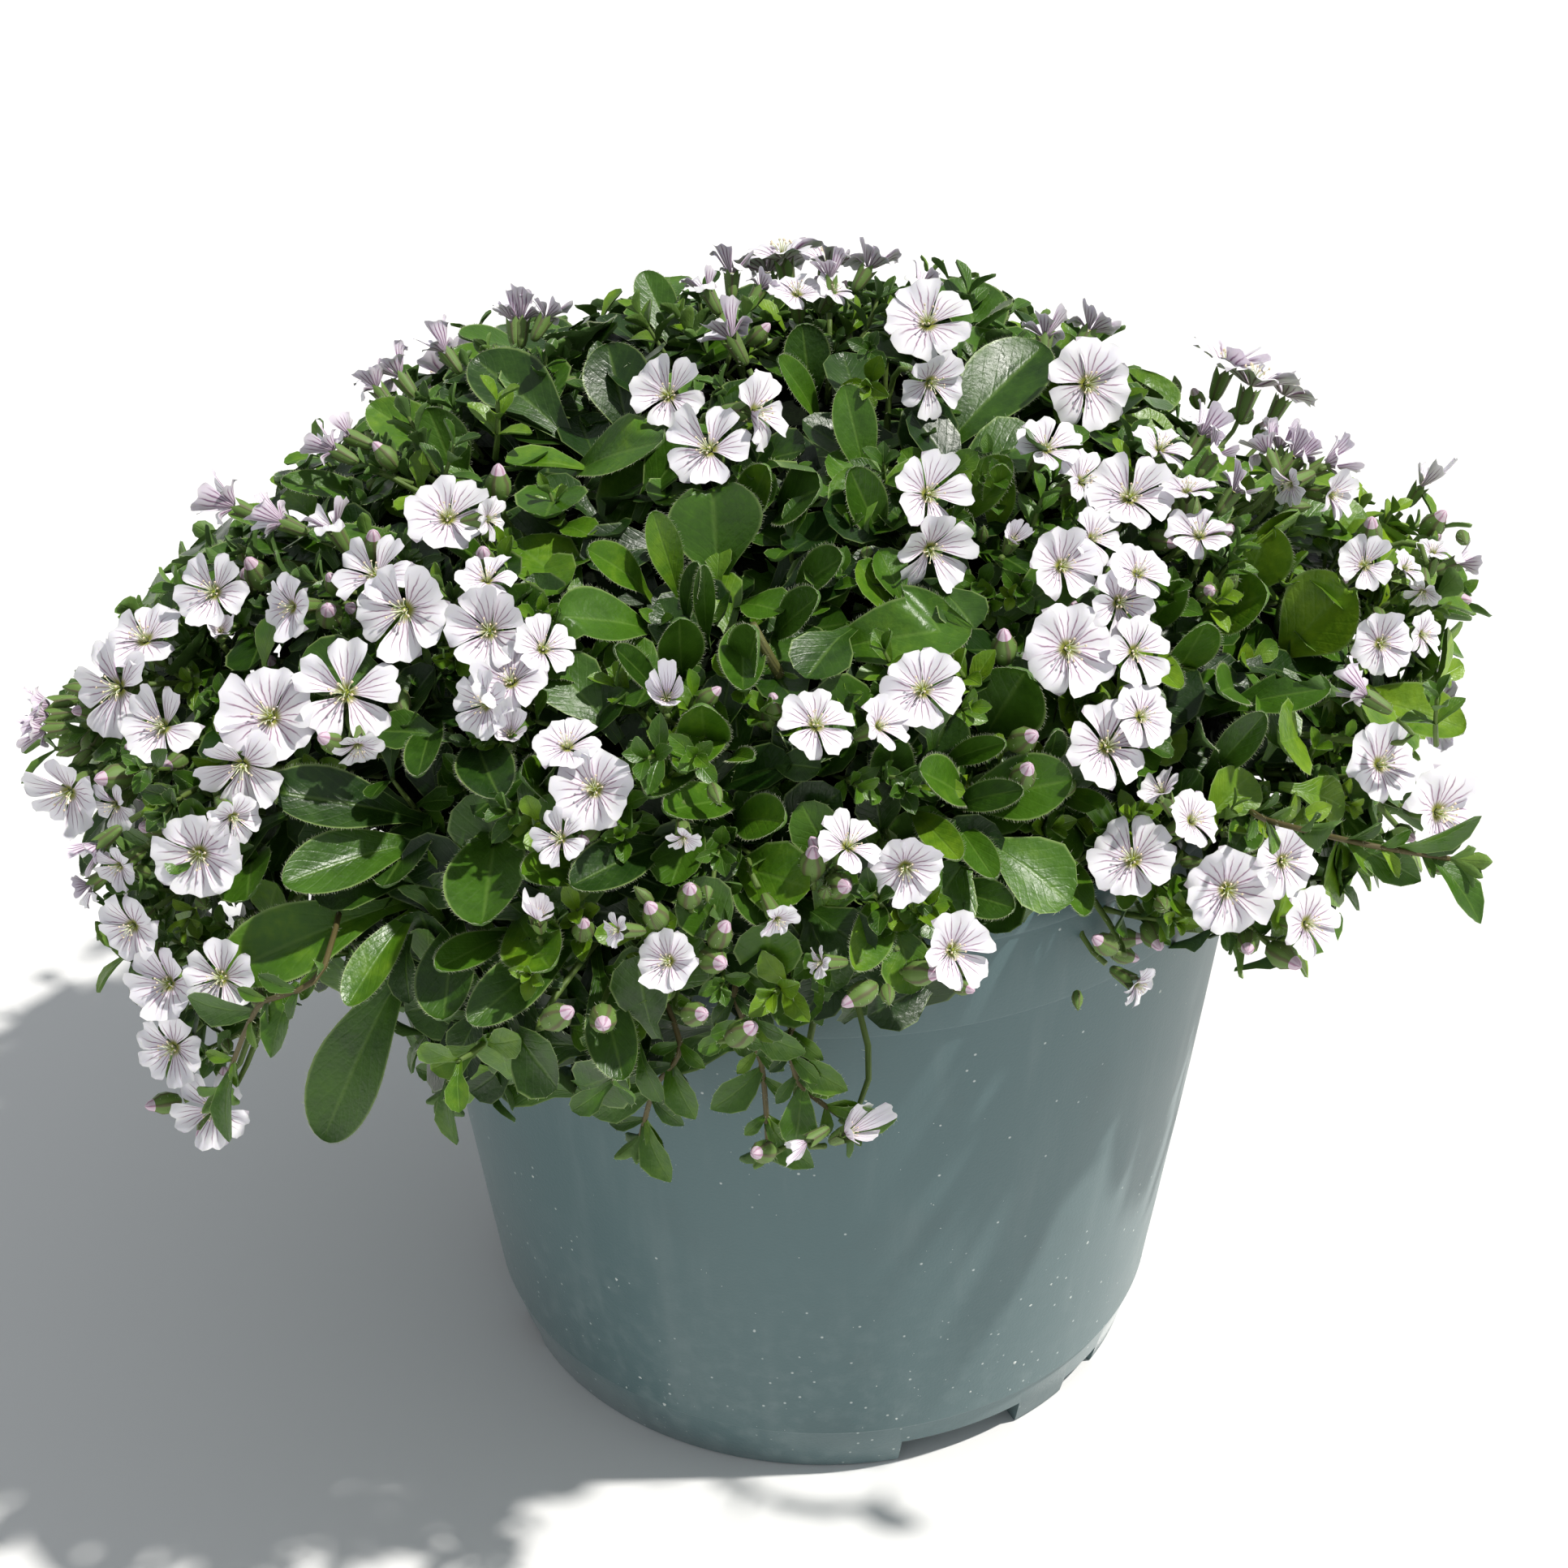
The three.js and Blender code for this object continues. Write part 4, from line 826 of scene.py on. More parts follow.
@dataclass(frozen=True)
class PetalFinish:
    """White petals with thin mauve veins, a yellow-green throat and purple-streaked backs."""

    white: Colour = srgb(247, 246, 247)
    shade: Colour = srgb(230, 228, 238)
    vein: Colour = srgb(124, 38, 102)
    blush: Colour = srgb(204, 178, 210)
    throat: Colour = srgb(146, 150, 52)
    back: Colour = srgb(238, 230, 241)
    back_streak: Colour = srgb(122, 52, 112)
    vein_strength: float = 0.9
    blush_strength: float = 0.3
    glow: tuple[float, float, float] = (0.0014, 0.0013, 0.0016)

    def build(self, name: str, veins: Tree) -> Material:
        """Makes the material from the vein group."""
        material, net, shader = new_material(name)
        along = net.uv()[1]
        thin = net.group(veins, Lines=5.0, Width=0.2, Reach=1.0, Waver=0.7)
        broad = net.group(veins, Lines=5.0, Width=0.42, Reach=1.05, Waver=0.7)
        face = net.blend(net.noise(net.spot(), 160.0), self.white, self.shade)
        face = net.blend(net.times(net.fade(along, 0.12, 0.6), self.blush_strength), face, self.blush)
        face = net.blend(net.times(thin, self.vein_strength), face, self.vein)
        face = net.blend(net.fade(along, 0.04, 0.22), face, self.throat)
        streaks = net.math("MAXIMUM", broad, net.times(net.fade(along, 0.15, 0.9), 0.3))
        back = net.blend(streaks, self.back, self.back_streak)
        net.give(shader, {
            "Base Color": net.blend(net.from_part(Part.BACK), face, back), "Roughness": 0.62,
            "Normal": net.bump(thin, 0.3, 0.0001), "Subsurface Weight": 0.5,
            "Subsurface Radius": self.glow, "Sheen Weight": 0.1})
        return material


@dataclass(frozen=True)
class LeafFinish:
    """Glossy green blades with a pale rib, a pale hairy edge and duller backs; their greens carry painted
    sunlight and painted shade.
    """

    # deep is the leaf green in painted shade and sunny is it in painted sunlight; middle lies between them
    deep: Colour = srgb(24, 52, 9)
    middle: Colour = srgb(70, 112, 20)
    sunny: Colour = srgb(138, 172, 32)
    rib: Colour = srgb(118, 152, 66)
    margin: Colour = srgb(150, 174, 104)
    back: Colour = srgb(98, 128, 72)
    hair: Colour = srgb(206, 216, 180)
    stem: Colour = srgb(96, 120, 52)
    aged_stem: Colour = srgb(94, 72, 48)
    # The next two numbers shift a whole finish: the first lifts its tint, the second blends it towards the
    # shaded green as painted shade
    lift: float = 0.0
    painted_shade: float = 0.0
    glow: tuple[float, float, float] = (0.0008, 0.0016, 0.0003)

    def build(self, name: str, mottle: Tree) -> Material:
        """Makes the material from the patch group and the tint that the mesh carries."""
        material, net, shader = new_material(name)
        from_left, along, _ = net.uv()
        across = net.math("ABSOLUTE", net.math("MULTIPLY_ADD", from_left, 2.0, -1.0))
        patches = net.group(mottle, Scale=170.0, Contrast=1.6)
        tint = net.plus(net.attribute("tint"), self.lift)
        # Random patches and the tint, which carries painted sunlight on the right-hand side, pick between
        # painted shade, middle green and painted sunlight
        shade = net.math("MULTIPLY_ADD", patches, 0.5, net.less(tint, 0.25))
        blade = net.blend(net.step(shade, 0.0, 0.75), self.deep, self.middle)
        blade = net.blend(net.step(shade, 0.55, 1.15), blade, self.sunny)
        rib = net.times(net.fade(across, 0.01, 0.1), net.fade(along, 0.7, 1.0))
        blade = net.blend(net.times(rib, 0.28), blade, self.rib)
        slant = net.less(net.times(along, 9.0), net.times(across, 3.0))
        side_vein = net.fade(net.off_middle(net.math("FRACT", slant)), 0.0, 0.16)
        blade = net.blend(net.times(side_vein, 0.03), blade, self.rib)
        blade = net.blend(net.times(net.step(across, 0.91, 1.0), 0.6), blade, self.margin)
        behind = net.from_part(Part.BACK)
        colour = net.blend(behind, blade, net.blend(0.45, self.back, blade))
        colour = net.blend(net.from_part(Part.HAIR), colour, self.hair)
        bark = net.blend(net.step(tint, -0.1, 0.4), self.aged_stem, self.stem)
        colour = net.blend(net.from_part(Part.STEM), colour, bark)
        rough = net.plus(net.math("MULTIPLY_ADD", patches, 0.3, 0.22), net.times(behind, 0.2))
        grain = net.plus(net.times(net.noise(net.spot(), 1500.0, 3.0), 0.5),
                         net.times(net.math("MULTIPLY_ADD", side_vein, 0.3, rib), -0.3))
        net.give(shader, {
            "Base Color": net.blend(self.painted_shade, colour, self.deep), "Roughness": rough,
            "Normal": net.bump(grain, 0.5, 0.00035), "Specular IOR Level": 0.46,
            "Subsurface Weight": 0.08, "Subsurface Radius": self.glow})
        return material


@dataclass(frozen=True)
class CalyxFinish:
    """Green bells and buds with purplish ribs; a bud's tip is white and pink."""

    green: Colour = srgb(104, 134, 62)
    rib: Colour = srgb(96, 54, 66)
    tip: Colour = srgb(218, 198, 212)
    streak: Colour = srgb(172, 96, 142)
    hair: Colour = srgb(214, 224, 196)
    ribs: float = 5.0

    def build(self, name: str, mottle: Tree) -> Material:
        """Makes the material from the patch group."""
        material, net, shader = new_material(name)
        lane = net.math("FRACT", net.times(net.uv()[0], self.ribs))
        rib = net.fade(net.off_middle(lane), 0.05, 0.24)
        colour = net.blend(net.times(rib, 0.7), self.green, self.rib)
        patches = net.group(mottle, Scale=500.0)
        colour = net.blend(net.times(patches, 0.5), colour, self.green)
        tip = net.blend(net.times(rib, 0.6), self.tip, self.streak)
        colour = net.blend(net.from_part(Part.BACK), colour, tip)
        colour = net.blend(net.from_part(Part.HAIR), colour, self.hair)
        net.give(shader, {"Base Color": colour, "Roughness": 0.6, "Normal": net.bump(rib, 0.4, 0.0002)})
        return material


@dataclass(frozen=True)
class StamenFinish:
    """Pale green threads, cream anthers and a green ovary."""

    thread: Colour = srgb(226, 232, 196)
    anther: Colour = srgb(244, 226, 196)
    ovary: Colour = srgb(150, 164, 60)

    def build(self, name: str) -> Material:
        """Makes the material."""
        material, net, shader = new_material(name)
        colour = net.blend(net.from_part(Part.BACK), self.thread, self.anther)
        colour = net.blend(net.from_part(Part.HAIR), colour, self.ovary)
        net.give(shader, {"Base Color": colour, "Roughness": 0.55})
        return material


@dataclass(frozen=True)
class PotPlastic:
    """Matte blue-grey plastic with streaks, scuffs and pale dust that thickens towards the foot."""

    base: Colour = srgb(75, 103, 106)
    pale: Colour = srgb(91, 117, 120)
    dust: Colour = srgb(206, 214, 212)
    stain: Colour = srgb(74, 90, 92)
    dusty_height: float = 0.06

    def build(self, name: str, mottle: Tree) -> Material:
        """Makes the material from the patch group."""
        material, net, shader = new_material(name)
        spot = net.spot()
        patches = net.group(mottle, Scale=26.0, Contrast=1.5)
        tall = net.add("ShaderNodeMapping", {"Vector": spot, "Scale": (1.0, 1.0, 0.12)}).outputs[0]
        streak = net.step(net.noise(tall, 160.0, 4.0), 0.5, 0.75)
        colour = net.blend(net.times(patches, 0.45), self.base, self.pale)
        colour = net.blend(net.times(streak, 0.05), colour, self.dust)
        stain = net.step(net.noise(spot, 60.0, 5.0), 0.56, 0.72)
        colour = net.blend(net.times(stain, 0.16), colour, self.stain)
        low = net.fade(net.split(spot)[2], 0.0, self.dusty_height)
        film = net.times(net.step(net.noise(spot, 330.0, 6.0), 0.42, 0.78), low)
        colour = net.blend(net.times(film, 0.12), colour, self.dust)
        speck = net.add("ShaderNodeTexVoronoi", {"Vector": spot, "Scale": 900.0}, feature="F1").outputs
        chance = net.split(speck["Color"])[0]
        shown = net.math("GREATER_THAN", chance, net.math("MULTIPLY_ADD", low, -0.08, 0.98))
        dot = net.times(net.fade(speck["Distance"], 0.1, 0.26), shown)
        colour = net.blend(net.times(dot, 0.75), colour, self.dust)
        rough = net.plus(net.math("MULTIPLY_ADD", patches, 0.2, 0.38), net.times(film, 0.3))
        grain = net.plus(net.noise(spot, 2200.0), net.times(dot, 0.6))
        net.give(shader, {
            "Base Color": colour, "Roughness": rough, "Normal": net.bump(grain, 0.18, 0.0002),
            "Sheen Weight": 0.3, "Sheen Roughness": 0.4})
        return material


@dataclass(frozen=True)
class EarthFinish:
    """A rough dark finish in two shades, for soil, crumbs, dust and the middle of the plant, whose near-black
    colour there is painted shade.
    """

    dark: Colour
    light: Colour
    scale: float = 300.0
    depth: float = 0.0008

    def build(self, name: str, mottle: Tree) -> Material:
        """Makes the material from the patch group."""
        material, net, shader = new_material(name)
        patches = net.group(mottle, Scale=self.scale, Contrast=2.4)
        net.give(shader, {
            "Base Color": net.blend(patches, self.dark, self.light), "Roughness": 0.95,
            "Normal": net.bump(patches, 0.7, self.depth), "Specular IOR Level": 0.15})
        return material


class Finishes:
    """Every material of the object, built once."""

    def __init__(self) -> None:
        """Builds the shared groups and the materials."""
        mottle = mottle_group()
        grit = 900.0
        # near-black painted shade for the middle of the cushion, seen through the gaps between leaves
        heart = EarthFinish(srgb(4, 8, 3), srgb(16, 26, 8))
        soil = EarthFinish(srgb(22, 15, 11), srgb(66, 48, 36))
        crumb = EarthFinish(srgb(40, 27, 19), srgb(96, 72, 52), grit)
        dust = EarthFinish(srgb(180, 190, 188), srgb(226, 230, 226), grit, 0.0001)
        self.petal = PetalFinish().build("petal_white", vein_group())
        self.stamen = StamenFinish().build("stamen_cream")
        self.calyx = CalyxFinish().build("calyx_green", mottle)
        self.leaf = LeafFinish().build("leaf_green", mottle)
        self.young_leaf = LeafFinish(lift=0.12).build("young_leaf_green", mottle)
        # The inner leaves are painted darker: painted shade for leaves that lie deep in the cushion
        self.shaded_leaf = LeafFinish(lift=-0.3, painted_shade=0.45).build("shaded_leaf_green", mottle)
        self.heart = heart.build("shaded_middle", mottle)
        self.soil = soil.build("potting_mix", mottle)
        self.crumb = crumb.build("bark_crumb", mottle)
        self.dust = dust.build("pale_dust", mottle)
        self.plastic = PotPlastic().build("pot_grey_plastic", mottle)


class Scatter:
    """Copies of a few templates on points that each carry a turn, a size, a choice and a tint.

    Geometry Nodes place the copies, so that one small tree serves leaves, blooms, hairs and crumbs.
    """

    def __init__(self, wobble: float, seed: int) -> None:
        """Starts with no points.

        Args:
            wobble: random extra turn of each copy, in degrees.
            seed: seed of that turn.
        """
        self.wobble = wobble
        self.seed = seed
        self.points: list[Vector] = []
        self.turns: list[Vector] = []
        self.sizes: list[float] = []
        self.choices: list[int] = []
        self.tints: list[float] = []

    def place(self, point: Vector, turn: Matrix, size: float, choice: int = 0, tint: float = 0.5) -> None:
        """Adds one copy."""
        self.points.append(point)
        self.turns.append(Vector(turn.to_euler()))
        self.sizes.append(size)
        self.choices.append(choice)
        self.tints.append(tint)

    def carrier(self, name: str) -> Object:
        """An object of bare points with their values."""
        data = bpy.data.meshes.new(name)
        data.from_pydata([tuple(point * MM) for point in self.points], [], [])
        turn = data.attributes.new("turn", "FLOAT_VECTOR", "POINT")
        turn.data.foreach_set("vector", np.array(self.turns, np.float32).ravel())
        for key, kind, values in (("size", "FLOAT", self.sizes), ("tint", "FLOAT", self.tints),
                                  ("choice", "INT", self.choices)):
            data.attributes.new(key, kind, "POINT").data.foreach_set("value", values)
        return linked(name, data)

    def tree(self, name: str, material: Material) -> Tree:
        """The Geometry Nodes tree: instances on the points, realized and given their material."""
        tree = bpy.data.node_groups.new(name, "GeometryNodeTree")
        for key, kind in (("Points", "Geometry"), ("Templates", "Collection"), ("Size", "Float"),
                          ("Wobble", "Float"), ("Seed", "Int")):
            tree.interface.new_socket(key, in_out="INPUT", socket_type="NodeSocket" + kind)
        tree.interface.new_socket("Copies", in_out="OUTPUT", socket_type="NodeSocketGeometry")
        net = Wiring(tree)
        given = net.add("NodeGroupInput").outputs
        shelf = net.add("GeometryNodeCollectionInfo", {
            "Collection": given["Templates"], "Separate Children": True, "Reset Children": True})
        turn, size, choice = (
            net.add("GeometryNodeInputNamedAttribute", {"Name": key}, data_type=kind).outputs[0]
            for key, kind in (("turn", "FLOAT_VECTOR"), ("size", "FLOAT"), ("choice", "INT")))
        most = net.add("ShaderNodeCombineXYZ", dict.fromkeys(range(3), given["Wobble"])).outputs[0]
        least = net.add("ShaderNodeVectorMath", {0: most, "Scale": -1.0}, operation="SCALE").outputs[0]
        shake = net.add("FunctionNodeRandomValue", {0: least, 1: most, "Seed": given["Seed"]},
                        data_type="FLOAT_VECTOR")
        straight = net.add("FunctionNodeEulerToRotation", {0: turn})
        extra = net.add("FunctionNodeEulerToRotation", {0: shake.outputs[0]})
        turned = net.add("FunctionNodeRotateRotation", {0: straight.outputs[0], 1: extra.outputs[0]},
                         rotation_space="LOCAL")
        copies = net.add("GeometryNodeInstanceOnPoints", {
            "Points": given["Points"], "Instance": shelf.outputs[0], "Pick Instance": True,
            "Instance Index": choice, "Rotation": turned.outputs[0],
            "Scale": net.times(size, given["Size"])})
        real = net.add("GeometryNodeRealizeInstances", {"Geometry": copies.outputs[0]})
        dressed = net.add("GeometryNodeSetMaterial", {"Geometry": real.outputs[0], "Material": material})
        net.add("NodeGroupOutput", {0: dressed.outputs[0]})
        return tree

    def build(self, name: str, templates: "Templates", material: Material, slot: str,
              nodes: Sequence[str] = ()) -> None:
        """Makes all copies one plain mesh and hands it over.

        Args:
            name: the piece's name.
            templates: the meshes that are copied.
            material: the material of the copies.
            slot: the record's material slot; not used.
            nodes: CAD nodes that the piece stands for.
        """
        carrier = self.carrier(name)
        modifier = carrier.modifiers.new("scatter", "NODES")
        modifier.node_group = self.tree(name + "_tree", material)
        values = {"Templates": templates.collection, "Size": 1.0, "Wobble": math.radians(self.wobble),
                  "Seed": self.seed}
        for item in modifier.node_group.interface.items_tree:
            if item.in_out == "INPUT" and item.name in values:
                modifier[item.identifier] = values[item.name]
        carrier.update_tag()
        depsgraph = bpy.context.evaluated_depsgraph_get()
        data = bpy.data.meshes.new_from_object(carrier.evaluated_get(depsgraph), depsgraph=depsgraph,
                                               preserve_all_data_layers=True)
        data.name = name
        carrier.modifiers.clear()
        carrier.data = data
        hand_over(carrier, nodes)


class Templates:
    """A shelf of meshes that a scatter copies; they leave the scene once it is done."""

    def __init__(self, name: str, shapes: Sequence[Shape]) -> None:
        """Puts a mesh of each shape on the shelf."""
        self.collection = bpy.data.collections.new(name)
        for number, shape in enumerate(shapes):
            title = f"{name}_{number:02d}"
            self.collection.objects.link(bpy.data.objects.new(title, shape.mesh(title)))

    def clear(self) -> None:
        """Removes the templates."""
        for obj in list(self.collection.objects):
            bpy.data.objects.remove(obj)
        bpy.data.collections.remove(self.collection)


@dataclass(frozen=True)
class LeafForm:
    """Outline and folds of a leaf blade; its rows stand closer together towards the tip."""

    belly: float = 1.9
    taper: float = 0.9
    end: float = 0.52
    stalk: float = 0.2
    fold: float = 0.22
    arch: float = 0.1
    wave: float = 0.05
    rows: int = 7
    columns: int = 4
    crowding: float = 1.75
    least: float = 0.03

    def grid(self, length: float, width: float, draws: Draws) -> np.ndarray:
        """Rows and columns of points of a blade that runs along +Y and faces +Z."""
        share = 1 - (1 - np.linspace(0, 1, self.rows + 1)) ** self.crowding
        swell = np.clip(np.sin(np.pi * share ** self.belly), 0, 1)
        swell = swell ** np.where(share ** self.belly < 0.5, self.taper, self.end)
        half = np.maximum(np.maximum(self.stalk * np.sqrt(1 - share), swell), self.least) * width / 2
        side = np.linspace(-1, 1, self.columns + 1)[None, :]
        phase = draws.between(0, 6.28)
        bend = draws.between(-0.08, 0.08)
        share = share[:, None]
        half = half[:, None]
        across = half * side + bend * length * share ** 2
        along = share * length + np.zeros_like(across)
        rise = self.arch * length * np.sin(np.pi * share) + np.zeros_like(across)
        rise += self.fold * half * (np.abs(side) ** 1.12 - 0.5)
        rise += self.wave * half * np.sin(phase + 7 * share + 1.5 * side) * np.abs(side)
        return np.stack((across, along, rise), axis=2)


SPOON = LeafForm(fold=0.26, rows=6)
SHORT_SPOON = LeafForm(fold=0.28, rows=5)
INNER_SPOON = LeafForm(fold=0.3, rows=5)
POINTED = LeafForm(belly=1.3, taper=0.8, end=0.85, fold=0.34, arch=0.12, rows=5)
LARGE_SPOON = LeafForm(belly=2.0, taper=0.85, end=0.5, stalk=0.24, fold=0.34, arch=0.09, rows=14, columns=8)


@dataclass(frozen=True)
class LeafyTemplates:
    """Makes the small leaves and shoot tips that fill the cushion."""

    blade: float = 0.35
    hair: float = 0.024
    fringe_from: float = 0.25

    def leaf(self, form: LeafForm, length: float, width: float, seed: int, hairs: int = 0) -> Shape:
        """One leaf with a fringe of hairs."""
        shape = Shape(tinted=False)
        self.add_leaf(shape, form, length, width, Matrix.Identity(3), Vector((0, 0, 0)), Draws(seed), hairs)
        return shape

    def add_leaf(self, shape: Shape, form: LeafForm, length: float, width: float, turn: Matrix,
                 origin: Vector, draws: Draws, hairs: int, tint: float = 0.5,
                 clearing: "Clearing | None" = None) -> None:
        """Adds a leaf to a shape, with a fringe of hairs along both edges.

        Args:
            shape: what takes the leaf.
            form: its outline and folds.
            length: its length.
            width: its greatest width.
            turn: its turn, as basis gives it.
            origin: its root.
            draws: random numbers for its waves and hairs.
            hairs: how many hairs stand along each edge.
            tint: its shade, from 0 to 1.
            clearing: what bends the leaf down where it would stand over a bloom.
        """
        grid = form.grid(length, width, draws)
        points = placed(grid.reshape(-1, 3), turn, origin)
        if clearing:
            points = clearing.duck(points)
        grid = points.reshape(grid.shape)
        shape.add_sheet(grid, self.blade, None, tint)
        for edge, outward in ((0, -1.0), (form.columns, 1.0)):
            line = grid[:, edge]
            sideward = turn @ Vector((outward, 0.15, 0.25))
            for k in range(hairs):
                share = self.fringe_from + (1 - self.fringe_from) * (k + draws.next()) / hairs
                place = share * (len(line) - 1)
                first = min(int(place), len(line) - 2)
                root = Vector(line[first] + (line[first + 1] - line[first]) * (place - first))
                lean = (sideward + draws.direction() * 0.5).normalized()
                shape.add_hair(root, root + lean * draws.between(0.25, 0.6), self.hair, tint)

    def tip(self, form: LeafForm, pairs: int, leaf: float, seed: int) -> Shape:
        """The tip of a leafy shoot: a stem with crossed pairs of leaves that shrink upwards.

        Args:
            form: outline and folds of the leaves.
            pairs: how many pairs there are.
            leaf: length of the lowest leaves.
            seed: seed of the draws.
        Returns:
            The shape, which stands on its own +Z axis.
        """
        draws = Draws(seed)
        shape = Shape(tinted=False)
        length = leaf * 1.15
        bend = Vector((draws.between(-1, 1), draws.between(-1, 1), 0)) * 0.12 * length
        stem = [bend * (t * t) + UP * (t * length) for t in (-0.45, 0.0, 0.35, 0.7, 1.0)]
        shape.add_tube(stem, (0.55, 0.5, 0.45, 0.4, 0.3), 4)
        for level in range(pairs):
            share = 0.2 + 0.75 * level / max(pairs - 1, 1)
            origin = bend * share ** 2 + UP * (share * length)
            size = leaf * (1 - 0.42 * level / pairs) * draws.between(0.9, 1.1)
            tilt = math.radians(draws.between(58, 74) - 16 * level)
            for side in range(2):
                turn = math.pi * side + level * math.pi / 2 + draws.between(-0.25, 0.25)
                out = polar(turn, 1.0)
                place = basis(around(UP, out, tilt), UP * math.sin(tilt) - out * math.cos(tilt))
                self.add_leaf(shape, form, size, size * draws.between(0.48, 0.62), place, origin, draws, 2)
        return shape


class BloomKind(Enum):
    """How far a bloom has opened, or how it is turned."""

    OPEN = "open"
    TURNED = "turned"
    CUPPED = "cupped"


@dataclass
class Bloom:
    """One bloom: its throat, the way it faces, its radius, spin and kind, and the CAD node that holds it."""

    centre: Vector
    normal: Vector
    radius: float
    turn: float
    kind: BloomKind
    slide: Vector
    node: str = ""

    def neck(self) -> Vector:
        """Lower end of the calyx."""
        return self.centre - self.normal * (PETAL_THICKNESS + CALYX_LENGTH)

    def flat(self, drift: Vector) -> Vector:
        """The part of a direction that lies in the bloom's own plane."""
        return (drift - self.normal * drift.dot(self.normal)).normalized()

    def beside(self, drift: Vector, out: float, down: float) -> Vector:
        """A point beside the bloom: how far out in a direction, and how far down its axis."""
        return self.centre + self.flat(drift) * out - self.normal * down


@dataclass
class Face:
    """A round patch of a large leaf that stays in sight."""

    centre: Vector
    normal: Vector
    radius: float


@dataclass
class Clearing:
    """Keeps leaves from standing over the blooms and the photographed leaves."""

    faces: Sequence[Bloom | Face]
    reach: float = 13.0
    below: float = 1.4
    most: float = 5.0
    flare: float = 0.25

    def __post_init__(self) -> None:
        """Sorts the faces into a tree."""
        self.tree = kdtree.KDTree(len(self.faces))
        for i, face in enumerate(self.faces):
            self.tree.insert(face.centre, i)
        self.tree.balance()

    def near(self, point: Vector) -> list[Bloom | Face]:
        """The faces that a point may cover."""
        return [self.faces[index] for _, index, _ in self.tree.find_range(point, self.reach)]

    def height_over(self, face: Bloom | Face, point: Vector) -> float | None:
        """How far a point stands over a face, or None where it doesn't cover the face."""
        offset = point - face.centre
        height = offset.dot(face.normal)
        flat = (offset - face.normal * height).length
        covers = height > -self.below and flat < face.radius + self.flare * max(height, 0.0)
        return height if covers else None

    def free(self, *points: Vector) -> bool:
        """Whether none of the points covers a face, seen along its axis or from the eye."""
        for point in points:
            for face in self.near(point):
                if self.height_over(face, point) is not None:
                    return False
                offset = point - face.centre
                sight = (VIEW.eye - face.centre).normalized()
                ahead = offset.dot(sight)
                if ahead > 0 and (offset - sight * ahead).length < face.radius:
                    return False
        return True

    def duck(self, points: np.ndarray) -> np.ndarray:
        """Points moved down under each face that they would cover."""
        moved = []
        for values in points:
            point = Vector(values)
            for face in self.near(point):
                height = self.height_over(face, point)
                if height is not None:
                    point = point - face.normal * min(height + self.below, self.most)
            moved.append(tuple(point))
        return np.array(moved)


@dataclass(frozen=True)
class BloomForm:
    """Petals of one bloom of radius 1."""

    width: float
    rise: float
    reach: float
    seed: int
    notch: float = 0.07
    droop: float = 0.1
    rows: int = 6
    columns: int = 8
    throat: float = 0.07
    sunk: float = 0.12
    thickness: float = 0.03
    petals: int = 5

    def petal(self, draws: Draws) -> np.ndarray:
        """Grid of one petal that runs along +Y and faces +Z."""
        along = np.linspace(0, 1, self.rows + 1)[:, None]
        side = np.linspace(-1, 1, self.columns + 1)[None, :]
        phase = draws.between(0, 6.28)
        dent = np.exp(-((side + 0.1 * math.sin(phase)) / 0.24) ** 2)
        end = 1 - self.notch * draws.between(0.2, 1.6) * dent
        end = end - 0.15 * np.abs(side) ** 3.2 + 0.028 * np.sin(8 * side + phase)
        length = self.reach * draws.between(0.94, 1.03)
        radial = self.throat + (length - self.throat) * along * (1 + (end - 1) * along)
        half = self.width * draws.between(0.93, 1.13) * (0.12 + 0.88 * np.sin(np.pi * 0.55 * along) ** 1.45)
        lift = self.rise * draws.between(0.0, 2.3) * along ** 1.35 - self.sunk * (1 - along) ** 2
        sag = self.droop * np.maximum(0, along - 0.55) ** 2 * draws.between(0.2, 5.0)
        ripple = 0.065 * np.sin(5.2 * side + phase) * along ** 2
        trough = 0.13 * (side ** 2) * np.sin(np.pi * along) * draws.between(0.4, 1.5)
        lap = draws.between(0.02, 0.26) * side * along
        return np.stack((half * side, radial, lift - sag + ripple + trough + lap), axis=2)

    def shape(self) -> Shape:
        """All petals."""
        draws = Draws(self.seed)
        shape = Shape(tinted=False)
        for k in range(self.petals):
            turn = FULL_TURN * k / self.petals + math.radians(draws.between(-5, 5))
            spin = Matrix.Rotation(turn - math.pi / 2, 3, "Z")
            shape.add_sheet(self.petal(draws), self.thickness, spin)
        return shape


# Petal forms of each kind of bloom: half width, rise and seed
FORMS = {
    BloomKind.OPEN: tuple(BloomForm(width, rise, 1.0, seed) for width, rise, seed in (
        (0.54, 0.22, 1), (0.45, 0.18, 2), (0.42, 0.26, 3), (0.5, 0.28, 4), (0.4, 0.14, 5), (0.47, 0.12, 6),
        (0.44, 0.32, 7), (0.56, 0.24, 8), (0.43, 0.2, 9), (0.51, 0.16, 10))),
    BloomKind.TURNED: tuple(BloomForm(width, rise, 0.86, seed, droop=0.5) for width, rise, seed in (
        (0.48, 0.62, 21), (0.42, 0.5, 22), (0.52, 0.7, 23))),
    BloomKind.CUPPED: tuple(BloomForm(width, rise, 0.72, seed, droop=-0.4) for width, rise, seed in (
        (0.44, 0.86, 31), (0.38, 0.8, 32))),
}


